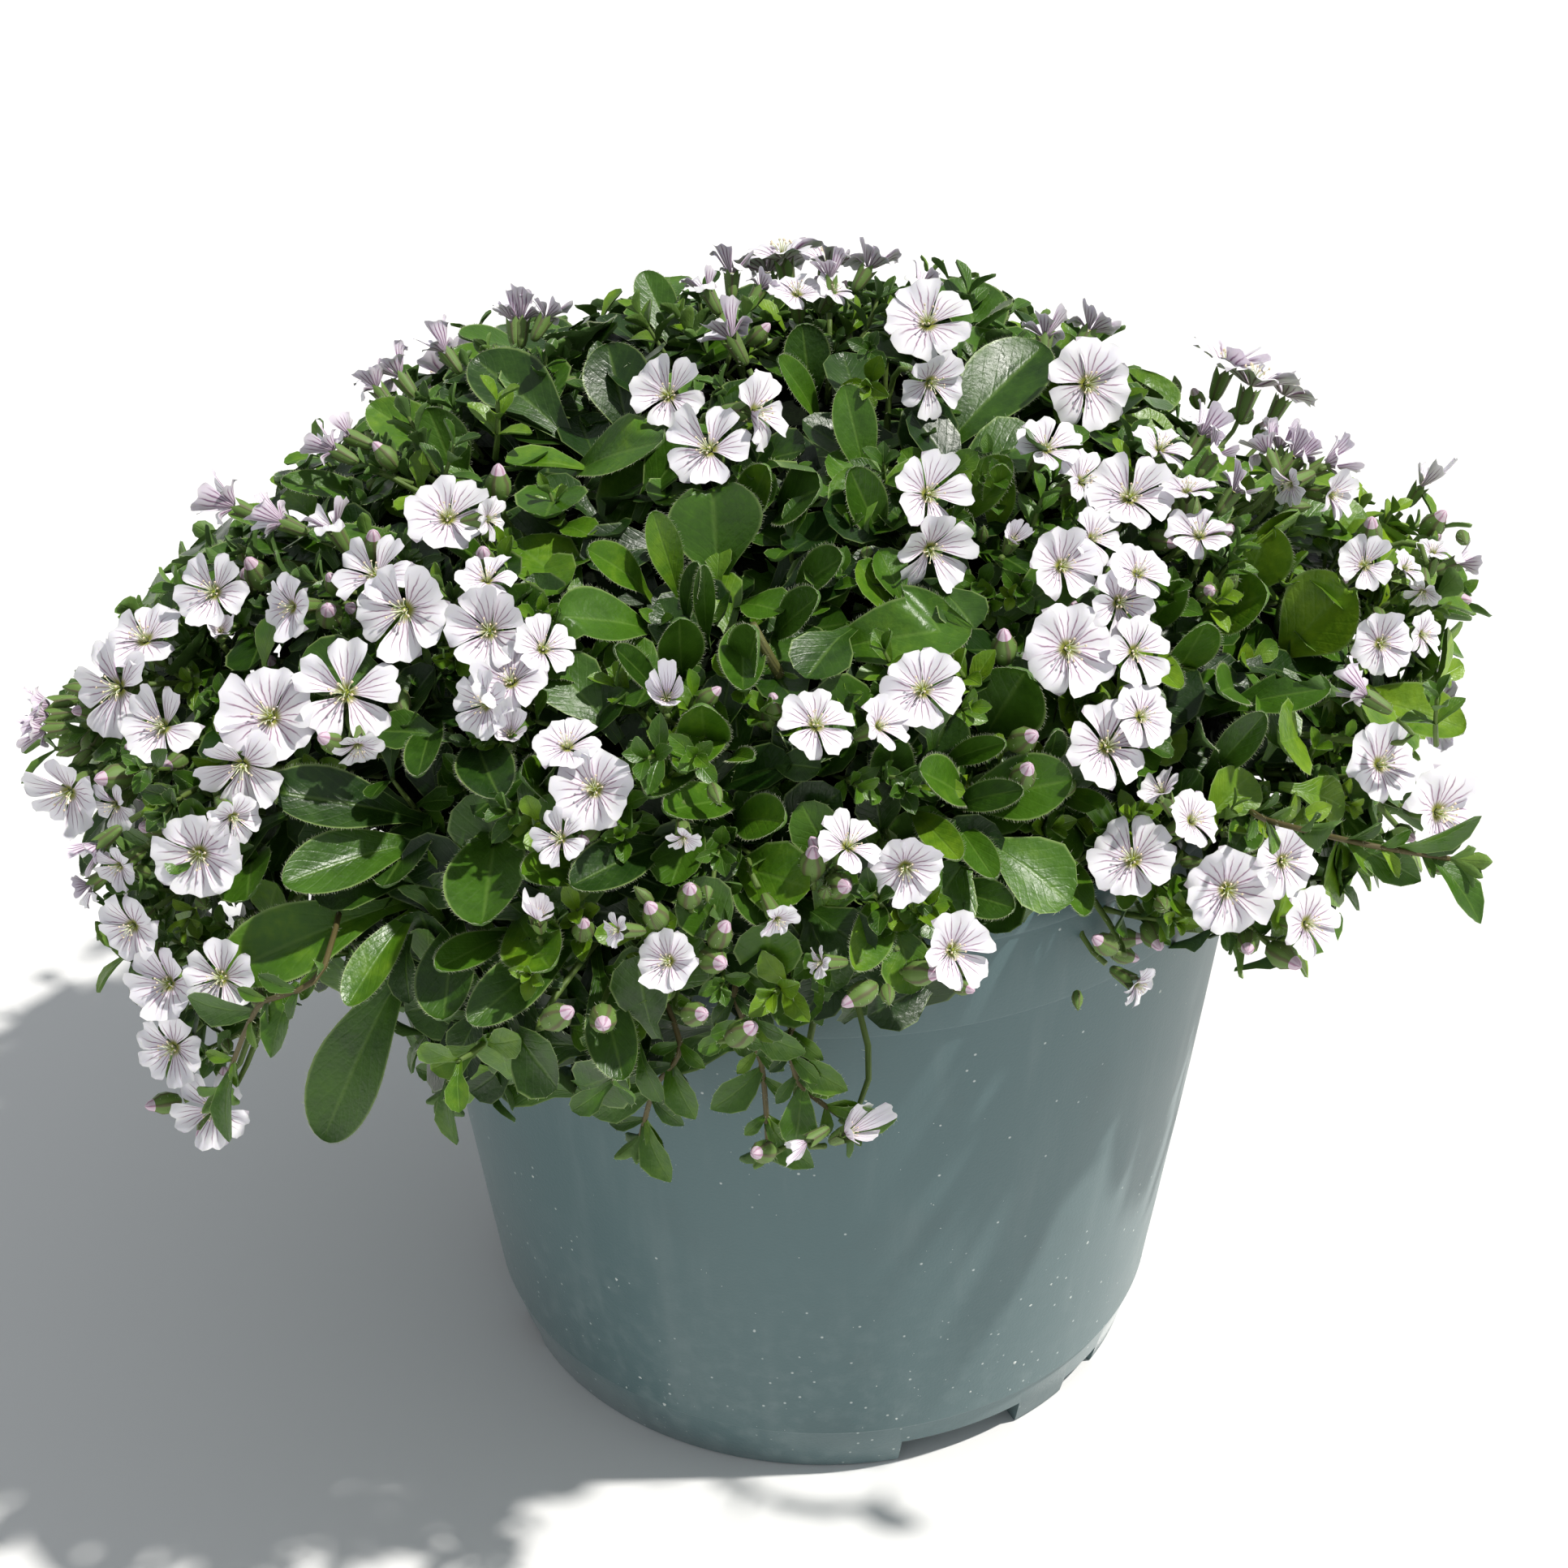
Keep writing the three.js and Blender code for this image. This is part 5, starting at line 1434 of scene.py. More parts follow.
def stamens_shape() -> Shape:
    """Ten threads with anthers, two styles and the ovary, for a bloom of radius 1."""
    draws = Draws(77)
    shape = Shape(tinted=False)
    for k in range(10):
        out = polar(FULL_TURN * k / 10 + draws.between(-0.2, 0.2), 1.0)
        reach = draws.between(0.14, 0.24) if k % 2 else draws.between(0.22, 0.3)
        height = draws.between(0.22, 0.34)
        path = [out * 0.05 - UP * 0.1, out * (reach * 0.55) + UP * (height * 0.6), out * reach + UP * height]
        shape.add_tube(path, (0.014, 0.012, 0.01), 3, Part.FRONT)
        shape.add_drop(path[2], 0.034, Part.BACK)
    for turn in (0.4, 3.2):
        out = polar(turn, 1.0)
        path = [UP * 0.02, out * 0.05 + UP * 0.2, out * 0.14 + UP * 0.36]
        shape.add_tube(path, (0.016, 0.013, 0.009), 3, Part.FRONT)
    shape.add_drop(UP * -0.02, 0.085, Part.HAIR)
    return shape


@dataclass(frozen=True)
class RingedForm:
    """A small turned body along +Z, as a calyx or a bud, with hairs on its sides.

    Its profile gives the radius and height of each ring. Every second corner of the last ring stands up as a
    tooth, and the faces from the ring numbered tip_from show petals.
    """

    profile: tuple[tuple[float, float], ...]
    hairs: int
    seed: int
    teeth: float = 0.0
    tip_from: int = 9
    sides: int = 10
    splay: float = 1.12

    def shape(self) -> Shape:
        """The body with its hairs."""
        rings = len(self.profile)
        foot, top = self.profile[0][1], self.profile[-1][1]
        points = [Vector((0, 0, foot))]
        for radius, height in self.profile:
            for k in range(self.sides):
                tooth = self.teeth if height == top and k % 2 == 0 else 0.0
                points.append(polar(FULL_TURN * k / self.sides, radius * (self.splay if tooth else 1.0),
                                    height + tooth))
        points.append(Vector((0, 0, top - self.teeth * 0.4)))
        uvs = [(k / self.sides, i / (rings - 1)) for i in range(rings) for k in range(self.sides)]
        column = [Part.FRONT.value] + [
            Part.BACK.value if i >= self.tip_from else Part.FRONT.value for i in range(rings)]
        shape = Shape(tinted=False)
        shape.add(points, turned_faces(rings, self.sides), np.array([(0.5, 0), *uvs, (0.5, 1)]),
                  column * self.sides)
        draws = Draws(self.seed)
        rows = np.array(self.profile)
        for _ in range(self.hairs):
            turn = draws.between(0, FULL_TURN)
            place = draws.between(0.3, min(self.tip_from, rings - 1) - 0.1)
            first = int(place)
            radius, height = rows[first] + (rows[first + 1] - rows[first]) * (place - first)
            root = polar(turn, radius * 0.97, height)
            out = polar(turn, 1.0, draws.between(0.0, 0.6))
            shape.add_hair(root, root + out * draws.between(0.35, 0.75))
        return shape


CALYX = RingedForm(((0.4, -5.4), (0.8, -5.1), (1.2, -4.0), (1.4, -2.6), (1.6, -1.0)), 20, 61, teeth=1.5)
LARGE_BUD = RingedForm(((0.4, -5.4), (1.2, -4.8), (1.75, -3.3), (1.65, -2.0), (1.0, -0.9), (0.7, -0.1),
                        (0.2, 0.4)), 24, 62, tip_from=4)
SMALL_BUD = RingedForm(((0.35, -3.8), (0.8, -3.4), (1.15, -2.3), (1.0, -1.2), (0.5, -0.2),
                        (0.12, 0.5)), 18, 63)


@dataclass
class Blooms:
    """All blooms, buds, calyces and stalks of the plant."""

    nodes: dict[str, Object]
    finishes: Finishes
    slide_reach: float = 10.0
    slide_step: float = 0.5
    match: float = 0.06
    cup_thickness: float = 1.2
    bunches: int = 5
    bunch_blooms: int = 3
    bunch_azimuths: tuple[float, float] = (18.0, 162.0)
    bunch_heights: tuple[float, float] = (-0.3, 0.8)
    bunch_width: float = 13.0
    bunch_spread: float = 6.0
    bunch_seed: int = 11
    turn_seed: int = 5
    bud_length: float = 5.4
    stalk_radii: tuple[float, ...] = (0.55, 0.5, 0.46, 0.42, 0.4, 0.44)
    stalk_bow: float = 0.45
    stalk_hairs: int = 10
    old_radii: tuple[float, ...] = (0.8, 0.75, 0.7, 0.75)
    old_hairs: int = 90

    def __post_init__(self) -> None:
        """Works out every bloom and bud, and finds the blooms among the CAD nodes."""
        self.own = self.photographed() + self.hidden()
        self.settle()
        self.all = self.own + [
            self.from_row(row, BloomKind.TURNED, 0.7 * i) for i, row in enumerate(CROWDED_BLOOMS)]
        self.buds: list[tuple[Vector, Vector]] = []
        for x, y, hour, lean in BUDS:
            tip = MOUND.cast(x, y, 1.0)
            self.buds.append((tip, VIEW.facing(tip, hour, lean)))

    def from_row(self, row: tuple[float, ...], kind: BloomKind, turn: float) -> Bloom:
        """The bloom of one row of the tables."""
        x, y, width, hour, lean = row
        centre = MOUND.cast(x, y, 1.0)
        radius = VIEW.millimetres(centre, width) / 2
        return Bloom(centre, VIEW.facing(centre, hour, lean), radius, turn, kind, VIEW.sight(x, y))

    def photographed(self) -> list[Bloom]:
        """The blooms that the photograph shows and the CAD holds."""
        draws = Draws(self.turn_seed)
        tables = ((OPEN_BLOOMS, BloomKind.OPEN), (TURNED_BLOOMS, BloomKind.TURNED),
                  (CUP_BLOOMS, BloomKind.CUPPED))
        return [self.from_row(row, kind, draws.next() * 2 * math.pi) for rows, kind in tables for row in rows]

    def hidden(self) -> list[Bloom]:
        """Bunches of blooms on the side away from the eye, spread by the golden angle."""
        draws = Draws(self.bunch_seed)
        blooms = []
        first, last = self.bunch_azimuths
        low, high = self.bunch_heights
        for i in range(self.bunches):
            azimuth = math.radians(first + (last - first) * ((i * GOLDEN / FULL_TURN) % 1))
            height = low + (high - low) * (i + 0.5) / self.bunches
            middle = MOUND.place(azimuth, height, 1.0)
            out = MOUND.outwards(middle)
            east = sideways(out)
            for k in range(self.bunch_blooms):
                turn = FULL_TURN * k / self.bunch_blooms + i
                jitter = Vector((draws.next() - 0.5, draws.next() - 0.5, draws.next() - 0.3))
                centre = middle + around(east, east.cross(out), turn) * self.bunch_spread
                normal = (out + jitter * 0.6).normalized()
                radius = self.bunch_width / 2 * (0.85 + 0.3 * draws.next())
                spin = draws.next() * 2 * math.pi
                blooms.append(Bloom(centre, normal, radius, spin, BloomKind.OPEN, out.copy()))
        return blooms

    def settle(self) -> None:
        """Moves each bloom to its place in the CAD, where a vertex marks its throat or the throat's back."""
        owners = [(vertex.co / MM, name) for name, obj in self.nodes.items()
                  if name not in ("pot", "potting_soil") for vertex in obj.data.vertices]
        tree = kdtree.KDTree(len(owners))
        for i, (point, _) in enumerate(owners):
            tree.insert(point, i)
        tree.balance()
        steps = int(self.slide_reach / self.slide_step)
        for bloom in self.own:
            thickness = self.cup_thickness if bloom.kind is BloomKind.CUPPED else PETAL_THICKNESS
            best = (self.match, bloom.centre, *CROWN)
            for k in range(-steps, steps + 1):
                centre = bloom.centre + bloom.slide * (k * self.slide_step)
                for mark in (centre, centre - bloom.normal * thickness):
                    _, index, distance = tree.find(mark)
                    if distance < best[0]:
                        best = (distance, centre, owners[index][1])
            _, bloom.centre, bloom.node = best
        log.info("blooms of the CAD: %d", len(self.own))

    def petals(self) -> None:
        """Makes the petals of each CAD node as one piece, and those of the crowded blooms as another."""
        templates = Templates("bloom_forms", [form.shape() for forms in FORMS.values() for form in forms])
        starts = dict(zip(FORMS, np.cumsum([0] + [len(forms) for forms in FORMS.values()]).tolist()))
        draws = Draws(91)
        groups: dict[str, Scatter] = {}
        for bloom in self.all:
            choice = starts[bloom.kind] + draws.pick(len(FORMS[bloom.kind]))
            scatter = groups.setdefault(bloom.node or "crowded", Scatter(wobble=2.0, seed=3))
            scatter.place(bloom.centre, upright(bloom.normal, bloom.turn), bloom.radius, choice)
        for key in sorted(groups):
            name = key.replace("blooms", "petals") if key.startswith("blooms") else f"petals_{key}"
            nodes = () if key == "crowded" else (key,)
            groups[key].build(name, templates, self.finishes.petal, "petals", nodes)
        templates.clear()

    def stamens(self) -> None:
        """Makes the stamens and styles of the blooms whose throats can be seen."""
        templates = Templates("stamen_form", [stamens_shape()])
        scatter = Scatter(wobble=9.0, seed=4)
        for bloom in self.own:
            if bloom.kind is not BloomKind.TURNED:
                scatter.place(bloom.centre, upright(bloom.normal, bloom.turn), bloom.radius)
        scatter.build("stamens", templates, self.finishes.stamen, "petals")
        templates.clear()

    def calyces(self) -> None:
        """Makes the calyces and the buds, with buds of the same shoots beside many blooms."""
        templates = Templates("calyx_forms", [form.shape() for form in (CALYX, LARGE_BUD, SMALL_BUD)])
        scatter = Scatter(wobble=4.0, seed=6)
        draws = Draws(64)
        clearing = Clearing(self.all)
        for bloom in self.all:
            lift = 0.15 if bloom.kind is BloomKind.OPEN else 0.05
            base = bloom.centre - bloom.normal * (bloom.radius * lift + 0.3)
            scatter.place(base, upright(bloom.normal, bloom.turn), 0.5 + 0.07 * bloom.radius)
            for _ in range(draws.pick(4)):
                drift = draws.direction()
                axis = (bloom.normal + drift * 0.9).normalized()
                spot = bloom.beside(drift, draws.between(4, 8), draws.between(3, 7))
                turn, size, choice = draws.next() * 6, draws.between(0.7, 1.0), 1 + draws.pick(2)
                if clearing.free(spot, spot - axis * 3):
                    scatter.place(spot, upright(axis, turn), size, choice)
        for tip, normal in self.buds:
            scatter.place(tip, upright(normal, draws.next() * 6), draws.between(0.9, 1.1), 1)
        scatter.build("calyces_and_buds", templates, self.finishes.calyx, "foliage", CROWN)
        templates.clear()

    def stalks(self) -> None:
        """Makes the curved stalks of the blooms and buds and the old stalk, with their hairs."""
        shape = Shape()
        draws = Draws(65)
        ends = [(bloom.neck(), bloom.normal) for bloom in self.all]
        ends += [(tip - normal * self.bud_length, normal) for tip, normal in self.buds]
        for neck, normal in ends:
            root = CORE.root(neck)
            if neck.z < 105:
                root = root.lerp(neck, 0.25)
            bow = neck - normal * (neck - root).length * self.stalk_bow
            path = [root * (1 - t) ** 2 + bow * (2 * t * (1 - t)) + neck * (t * t)
                    for t in (0, 0.2, 0.4, 0.6, 0.8, 1.0)]
            shape.add_tube(path, self.stalk_radii, 6, Part.STEM, draws.between(0.6, 1.0))
            for _ in range(self.stalk_hairs):
                shape.add_stem_hair(point_on(path, draws.between(2.0, 4.9)), 0.45, 0.8, 1.2, draws)
        old = [MOUND.cast(x, y, level) for x, y, level in OLD_STALK]
        shape.add_tube(old, self.old_radii, 7, Part.STEM, 0.12)
        for _ in range(self.old_hairs):
            shape.add_stem_hair(point_on(old, draws.between(0.0, len(old) - 1.001)), 0.6, 1.1, 1.6, draws)
        hand_over(shape.piece("flower_stalks", self.finishes.leaf), CROWN)


LeafPlace = tuple[Vector, Vector, float, Vector]


@dataclass(frozen=True)
class Layer:
    """A layer of copies over the cushion: how many are tried, how deep they root and how large they are."""

    name: str
    count: int
    levels: tuple[float, float]
    reach: float
    sizes: tuple[float, float]
    seed: int
    wobble: float
    wobble_seed: int
    stands: bool = False
    gap: float = 1.5


@dataclass
class Foliage:
    """Leaves, shoot tips and the shaded middle of the cushion.

    A lying rule gives how many leaves, seed, width, length, first and last azimuth. A hanging rule gives how
    many leaves, seed, first and last azimuth, share of the cushion's radius, width, lowest tip and its range.
    """

    blooms: Blooms
    finishes: Finishes
    lying: tuple[tuple[float, ...], ...] = (
        (14, 23, 7.5, 11.0, 165.0, 380.0), (22, 37, 11.0, 15.0, 10.0, 170.0))
    hanging: tuple[tuple[float, ...], ...] = (
        (15, 29, 12.0, 200.0, 0.94, 11.0, 95.0, 9.0), (22, 43, 186.0, 248.0, 0.76, 12.0, 97.0, 16.0))
    inner: Layer = Layer("inner_leaves", 1500, (0.72, 0.85), 13, (0.8, 1.25), 201, 8.0, 7)
    spoons: Layer = Layer("spoon_leaves", 1300, (0.8, 0.91), 14, (0.6, 1.25), 202, 8.0, 8)
    tips: Layer = Layer("shoot_tips", 370, (0.84, 0.93), 9, (0.7, 1.15), 203, 10.0, 9, stands=True, gap=3.0)
    bloom_tips: int = 3
    lift: float = 0.08
    kept_share: float = 0.36
    hairs: float = 3.0
    depths: tuple[float, ...] = (0.0, 7.0, 14.0)
    lowest: float = 98.0
    heart_rings: tuple[tuple[float, float], ...] = (
        (0.5, 106.0), (0.58, 112.8), (0.66, 114.5), (0.66, 124.0), (0.6, 135.0), (0.44, 145.0), (0.24, 151.0))
    heart_ends: tuple[float, float] = (105.4, 153.0)
    heart_in_rim: float = 60.0
    heart_sides: int = 72

    def __post_init__(self) -> None:
        """Works out the photographed leaves, and what stays in sight of them and of the blooms."""
        self.maker = LeafyTemplates()
        self.shown = self.photographed()
        self.clearing = Clearing(self.blooms.all)
        self.kept = Clearing(self.faces())

    def photographed(self) -> list[LeafPlace]:
        """Root, tip, width and face of each large leaf that the photograph shows."""
        leaves = []
        for base_x, base_y, tip_x, tip_y, width in LARGE_LEAVES:
            base = MOUND.cast(base_x, base_y, 0.88)
            tip = MOUND.cast(tip_x, tip_y, 0.99)
            face = MOUND.outwards(tip) * 0.8 + VIEW.facing(tip, 12, 20)
            leaves.append((base.lerp(CORE.root(base), 0.8), tip, VIEW.millimetres(tip, width), face))
        return leaves

    def faces(self) -> list[Face]:
        """Round patches along the broad part of each photographed leaf."""
        patches = []
        for root, tip, width, face in self.shown:
            normal = basis(tip - root, face).col[2]
            rise = normal * (self.lift * (tip - root).length)
            patches += [Face(root.lerp(tip, share) + rise, normal, width * self.kept_share)
                        for share in (0.5, 0.66, 0.82, 0.94)]
        return patches

    def tint_at(self, point: Vector, draws: Draws) -> float:
        """Shade of what grows at a point: random, and lighter and yellower on the sunny right-hand side as
        painted sunlight.
        """
        # painted sunlight: the tint rises towards +X, where the sun stands
        sunny = min(max((point.x - 10) / 90, 0.0), 1.0) * 0.3
        return draws.between(0.15, 0.7) + sunny

    def large_leaves(self) -> None:
        """Makes the large leaves of the photograph and those that the rules add."""
        added = [leaf for rule in self.lying for leaf in self.spread(*rule)]
        added += [leaf for rule in self.hanging for leaf in self.hang(*rule)]
        shape = Shape()
        draws = Draws(41)
        for root, tip, width, face in self.shown + [
                (root, self.pulled_in(root, tip), width, face) for root, tip, width, face in added]:
            length = (tip - root).length
            self.maker.add_leaf(shape, LARGE_SPOON, length, width, basis(tip - root, face), root, draws,
                                int(length * self.hairs), self.tint_at(tip, draws), self.clearing)
        hand_over(shape.piece("large_leaves", self.finishes.leaf), CROWN)

    def pulled_in(self, root: Vector, tip: Vector) -> Vector:
        """A leaf's tip, moved towards its root until it lies inside the photographed edge and is free."""
        for _ in range(6):
            inside = in_outline(*VIEW.pixel(tip), FOLIAGE_EDGE) or tip.z < POT.height
            inner = tip.lerp(root, 0.3)
            if inside and self.kept.free(tip, inner) and self.clearing.free(tip, inner):
                break
            tip = tip.lerp(root, 0.1)
        return tip

    def spread(self, count: int, seed: int, width: float, sweep: float, first: float, last: float
               ) -> list[LeafPlace]:
        """Leaves spread over the cushion by the golden angle, each lying to one side.

        Args:
            count: how many leaves are tried.
            seed: seed of the draws.
            width: middle width.
            sweep: middle length of the part that lies.
            first: first azimuth in degrees.
            last: last azimuth in degrees.
        Returns:
            Root, tip, width and face of each leaf.
        """
        draws = Draws(seed)
        leaves = []
        for i in range(count):
            azimuth = math.radians(first + (last - first) * ((i * GOLDEN / FULL_TURN) % 1))
            height = -0.1 + 1.08 * (i + 0.5) / count
            radius = MOUND.radius(azimuth) * math.sqrt(max(0.0, 1 - height * height))
            base = polar(azimuth, radius, MOUND.middle + height * MOUND.height)
            turn = (draws.next() - 0.5) * 2 * math.pi
            out = MOUND.outwards(base)
            east = sideways(out)
            heading = around(east.cross(out), east, turn)
            scale = 0.8 + 0.4 * draws.next()
            tip = base + heading * (sweep * scale) - out * 0.5
            if tip.z > POT.height - 8:
                leaves.append((CORE.root(base), tip, width * scale, out + heading * 0.2))
        return leaves

    def hang(self, count: int, seed: int, first: float, last: float, reach: float, width: float,
             lowest: float, rise: float) -> list[LeafPlace]:
        """Leaves that hang below the cushion's edge.

        Args:
            count: how many leaves there are.
            seed: seed of the draws.
            first: first azimuth in degrees.
            last: last azimuth in degrees.
            reach: middle share of the cushion's radius that the tips reach.
            width: middle width.
            lowest: least height of a tip.
            rise: how much higher a tip may be.
        Returns:
            Root, tip, width and face of each leaf.
        """
        draws = Draws(seed)
        leaves = []
        for i in range(count):
            azimuth = math.radians(first + (last - first) * (i + draws.next()) / count)
            radius = MOUND.radius(azimuth) * reach * (0.94 + 0.1 * draws.next())
            tip = polar(azimuth, radius, lowest + rise * draws.next())
            face = MOUND.outwards(tip) + UP * 0.8
            leaves.append((CORE.root(tip), tip, width * (0.85 + 0.3 * draws.next()), face))
        return leaves

    def grows_at(self, *points: Vector) -> bool:
        """Whether foliage may reach all of the points: over the pot, and inside the photographed edge."""
        for point in points:
            if point.z < POT.height + 2 and math.hypot(point.x, point.y) < POT.rim_radius + 3:
                return False
            to_eye = (VIEW.eye - point).normalized()
            if MOUND.outwards(point).dot(to_eye) < -0.1 and point.z < self.lowest:
                return False
            if not in_outline(*VIEW.pixel(point), FOLIAGE_EDGE):
                return False
        return True

    def fill(self, layer: Layer, forms: int) -> Scatter:
        """Spreads the copies of a layer over the cushion wherever foliage may grow.

        Args:
            layer: the layer.
            forms: how many templates it has.
        Returns:
            The copies.
        """
        scatter = Scatter(layer.wobble, layer.wobble_seed)
        draws = Draws(layer.seed)
        for i in range(layer.count):
            azimuth = (i * GOLDEN + draws.between(-0.2, 0.2)) % FULL_TURN
            height = min(-0.62 + 1.6 * ((i + draws.next()) / layer.count) ** 0.8, 0.985)
            root = MOUND.place(azimuth, height, draws.between(*layer.levels))
            out = MOUND.outwards(root)
            east = sideways(out)
            north = east.cross(out)
            turn = draws.between(0, FULL_TURN)
            heading = around(east, north, turn)
            size = draws.between(*layer.sizes)
            choice = draws.pick(forms)
            tint = self.tint_at(root, draws)
            if layer.stands:
                axis = (out + UP * 0.25 + heading * draws.between(0.0, 0.7)).normalized()
                rotation = upright(axis, turn)
            else:
                axis = (heading + out * draws.between(0.15, 0.6) + UP * 0.1).normalized()
                rotation = basis(axis, out + UP * 0.35 + draws.direction() * 0.3)
            for deeper in self.depths:
                spot = root - out * deeper
                tip = spot + axis * layer.reach * size
                middle = spot.lerp(tip, 0.5)
                edge = [tip + side * layer.gap for side in (east, -east, north, -north)]
                if (self.grows_at(tip, middle) and self.clearing.free(tip, middle, *edge)
                        and self.kept.free(tip, spot.lerp(tip, 0.75), middle)):
                    scatter.place(spot, rotation, size, choice, tint)
                    break
        return scatter

    def layers(self) -> None:
        """Makes the leaves inside, painted dark as shade, and the layer of small leaves over them."""
        inner = [self.maker.leaf(INNER_SPOON, 12.5, 7.0, 101 + number) for number in range(3)]
        spoons = [self.maker.leaf(SPOON, 13.5, 7.8 + 0.5 * number, 111 + number, 9) for number in range(5)]
        for layer, shapes, finish in ((self.inner, inner, self.finishes.shaded_leaf),
                                      (self.spoons, spoons, self.finishes.leaf)):
            templates = Templates(layer.name + "_forms", shapes)
            self.fill(layer, len(shapes)).build(layer.name, templates, finish, "foliage", CROWN)
            templates.clear()

    def shoot_tips(self) -> None:
        """Makes the leafy shoot tips over the cushion and close around the blooms."""
        shapes = [self.maker.tip(POINTED, 3, 6.5, 121 + number) for number in range(3)]
        shapes += [self.maker.tip(SHORT_SPOON, 2, 8.0, 131 + number) for number in range(2)]
        templates = Templates("shoot_tip_forms", shapes)
        finish = self.finishes.young_leaf
        self.fill(self.tips, len(shapes)).build(self.tips.name, templates, finish, "foliage", CROWN)
        scatter = Scatter(wobble=10.0, seed=10)
        draws = Draws(204)
        for bloom in self.blooms.all:
            for _ in range(self.bloom_tips):
                drift = draws.direction()
                flat = bloom.flat(drift)
                root = bloom.beside(drift, draws.between(2, 7), draws.between(9, 13))
                axis = (bloom.normal * 0.7 + MOUND.outwards(root) * 0.5 + flat * 0.5).normalized()
                size = draws.between(0.55, 0.9)
                tip = root + axis * 9.5 * size
                edge = [tip + flat * 2.5, tip - flat * 2.5]
                if self.grows_at(tip) and self.clearing.free(tip, root + axis * 6 * size, *edge):
                    scatter.place(root, upright(axis, draws.next() * 6), size, draws.pick(3),
                                  self.tint_at(root, draws))
        scatter.build("bloom_shoot_tips", templates, finish, "foliage", CROWN)
        templates.clear()

    def heart(self) -> None:
        """Makes the middle of the cushion, smaller than the leaves around it: a body whose near-black colour
        is painted shade.
        """
        points = [Vector((0, 0, self.heart_ends[0]))]
        for share, z in self.heart_rings:
            for k in range(self.heart_sides):
                azimuth = FULL_TURN * k / self.heart_sides
                radius = share * MOUND.radius(azimuth)
                point = polar(azimuth, min(radius, self.heart_in_rim) if z < POT.height else radius, z)
                points.append(point + MOUND.outwards(point) * (noise.noise(point * 0.09) * 5))
        points.append(Vector((0, 0, self.heart_ends[1])))
        shape = Shape()
        shape.add(points, turned_faces(len(self.heart_rings), self.heart_sides))
        hand_over(shape.piece("plant_heart", self.finishes.heart), CROWN)


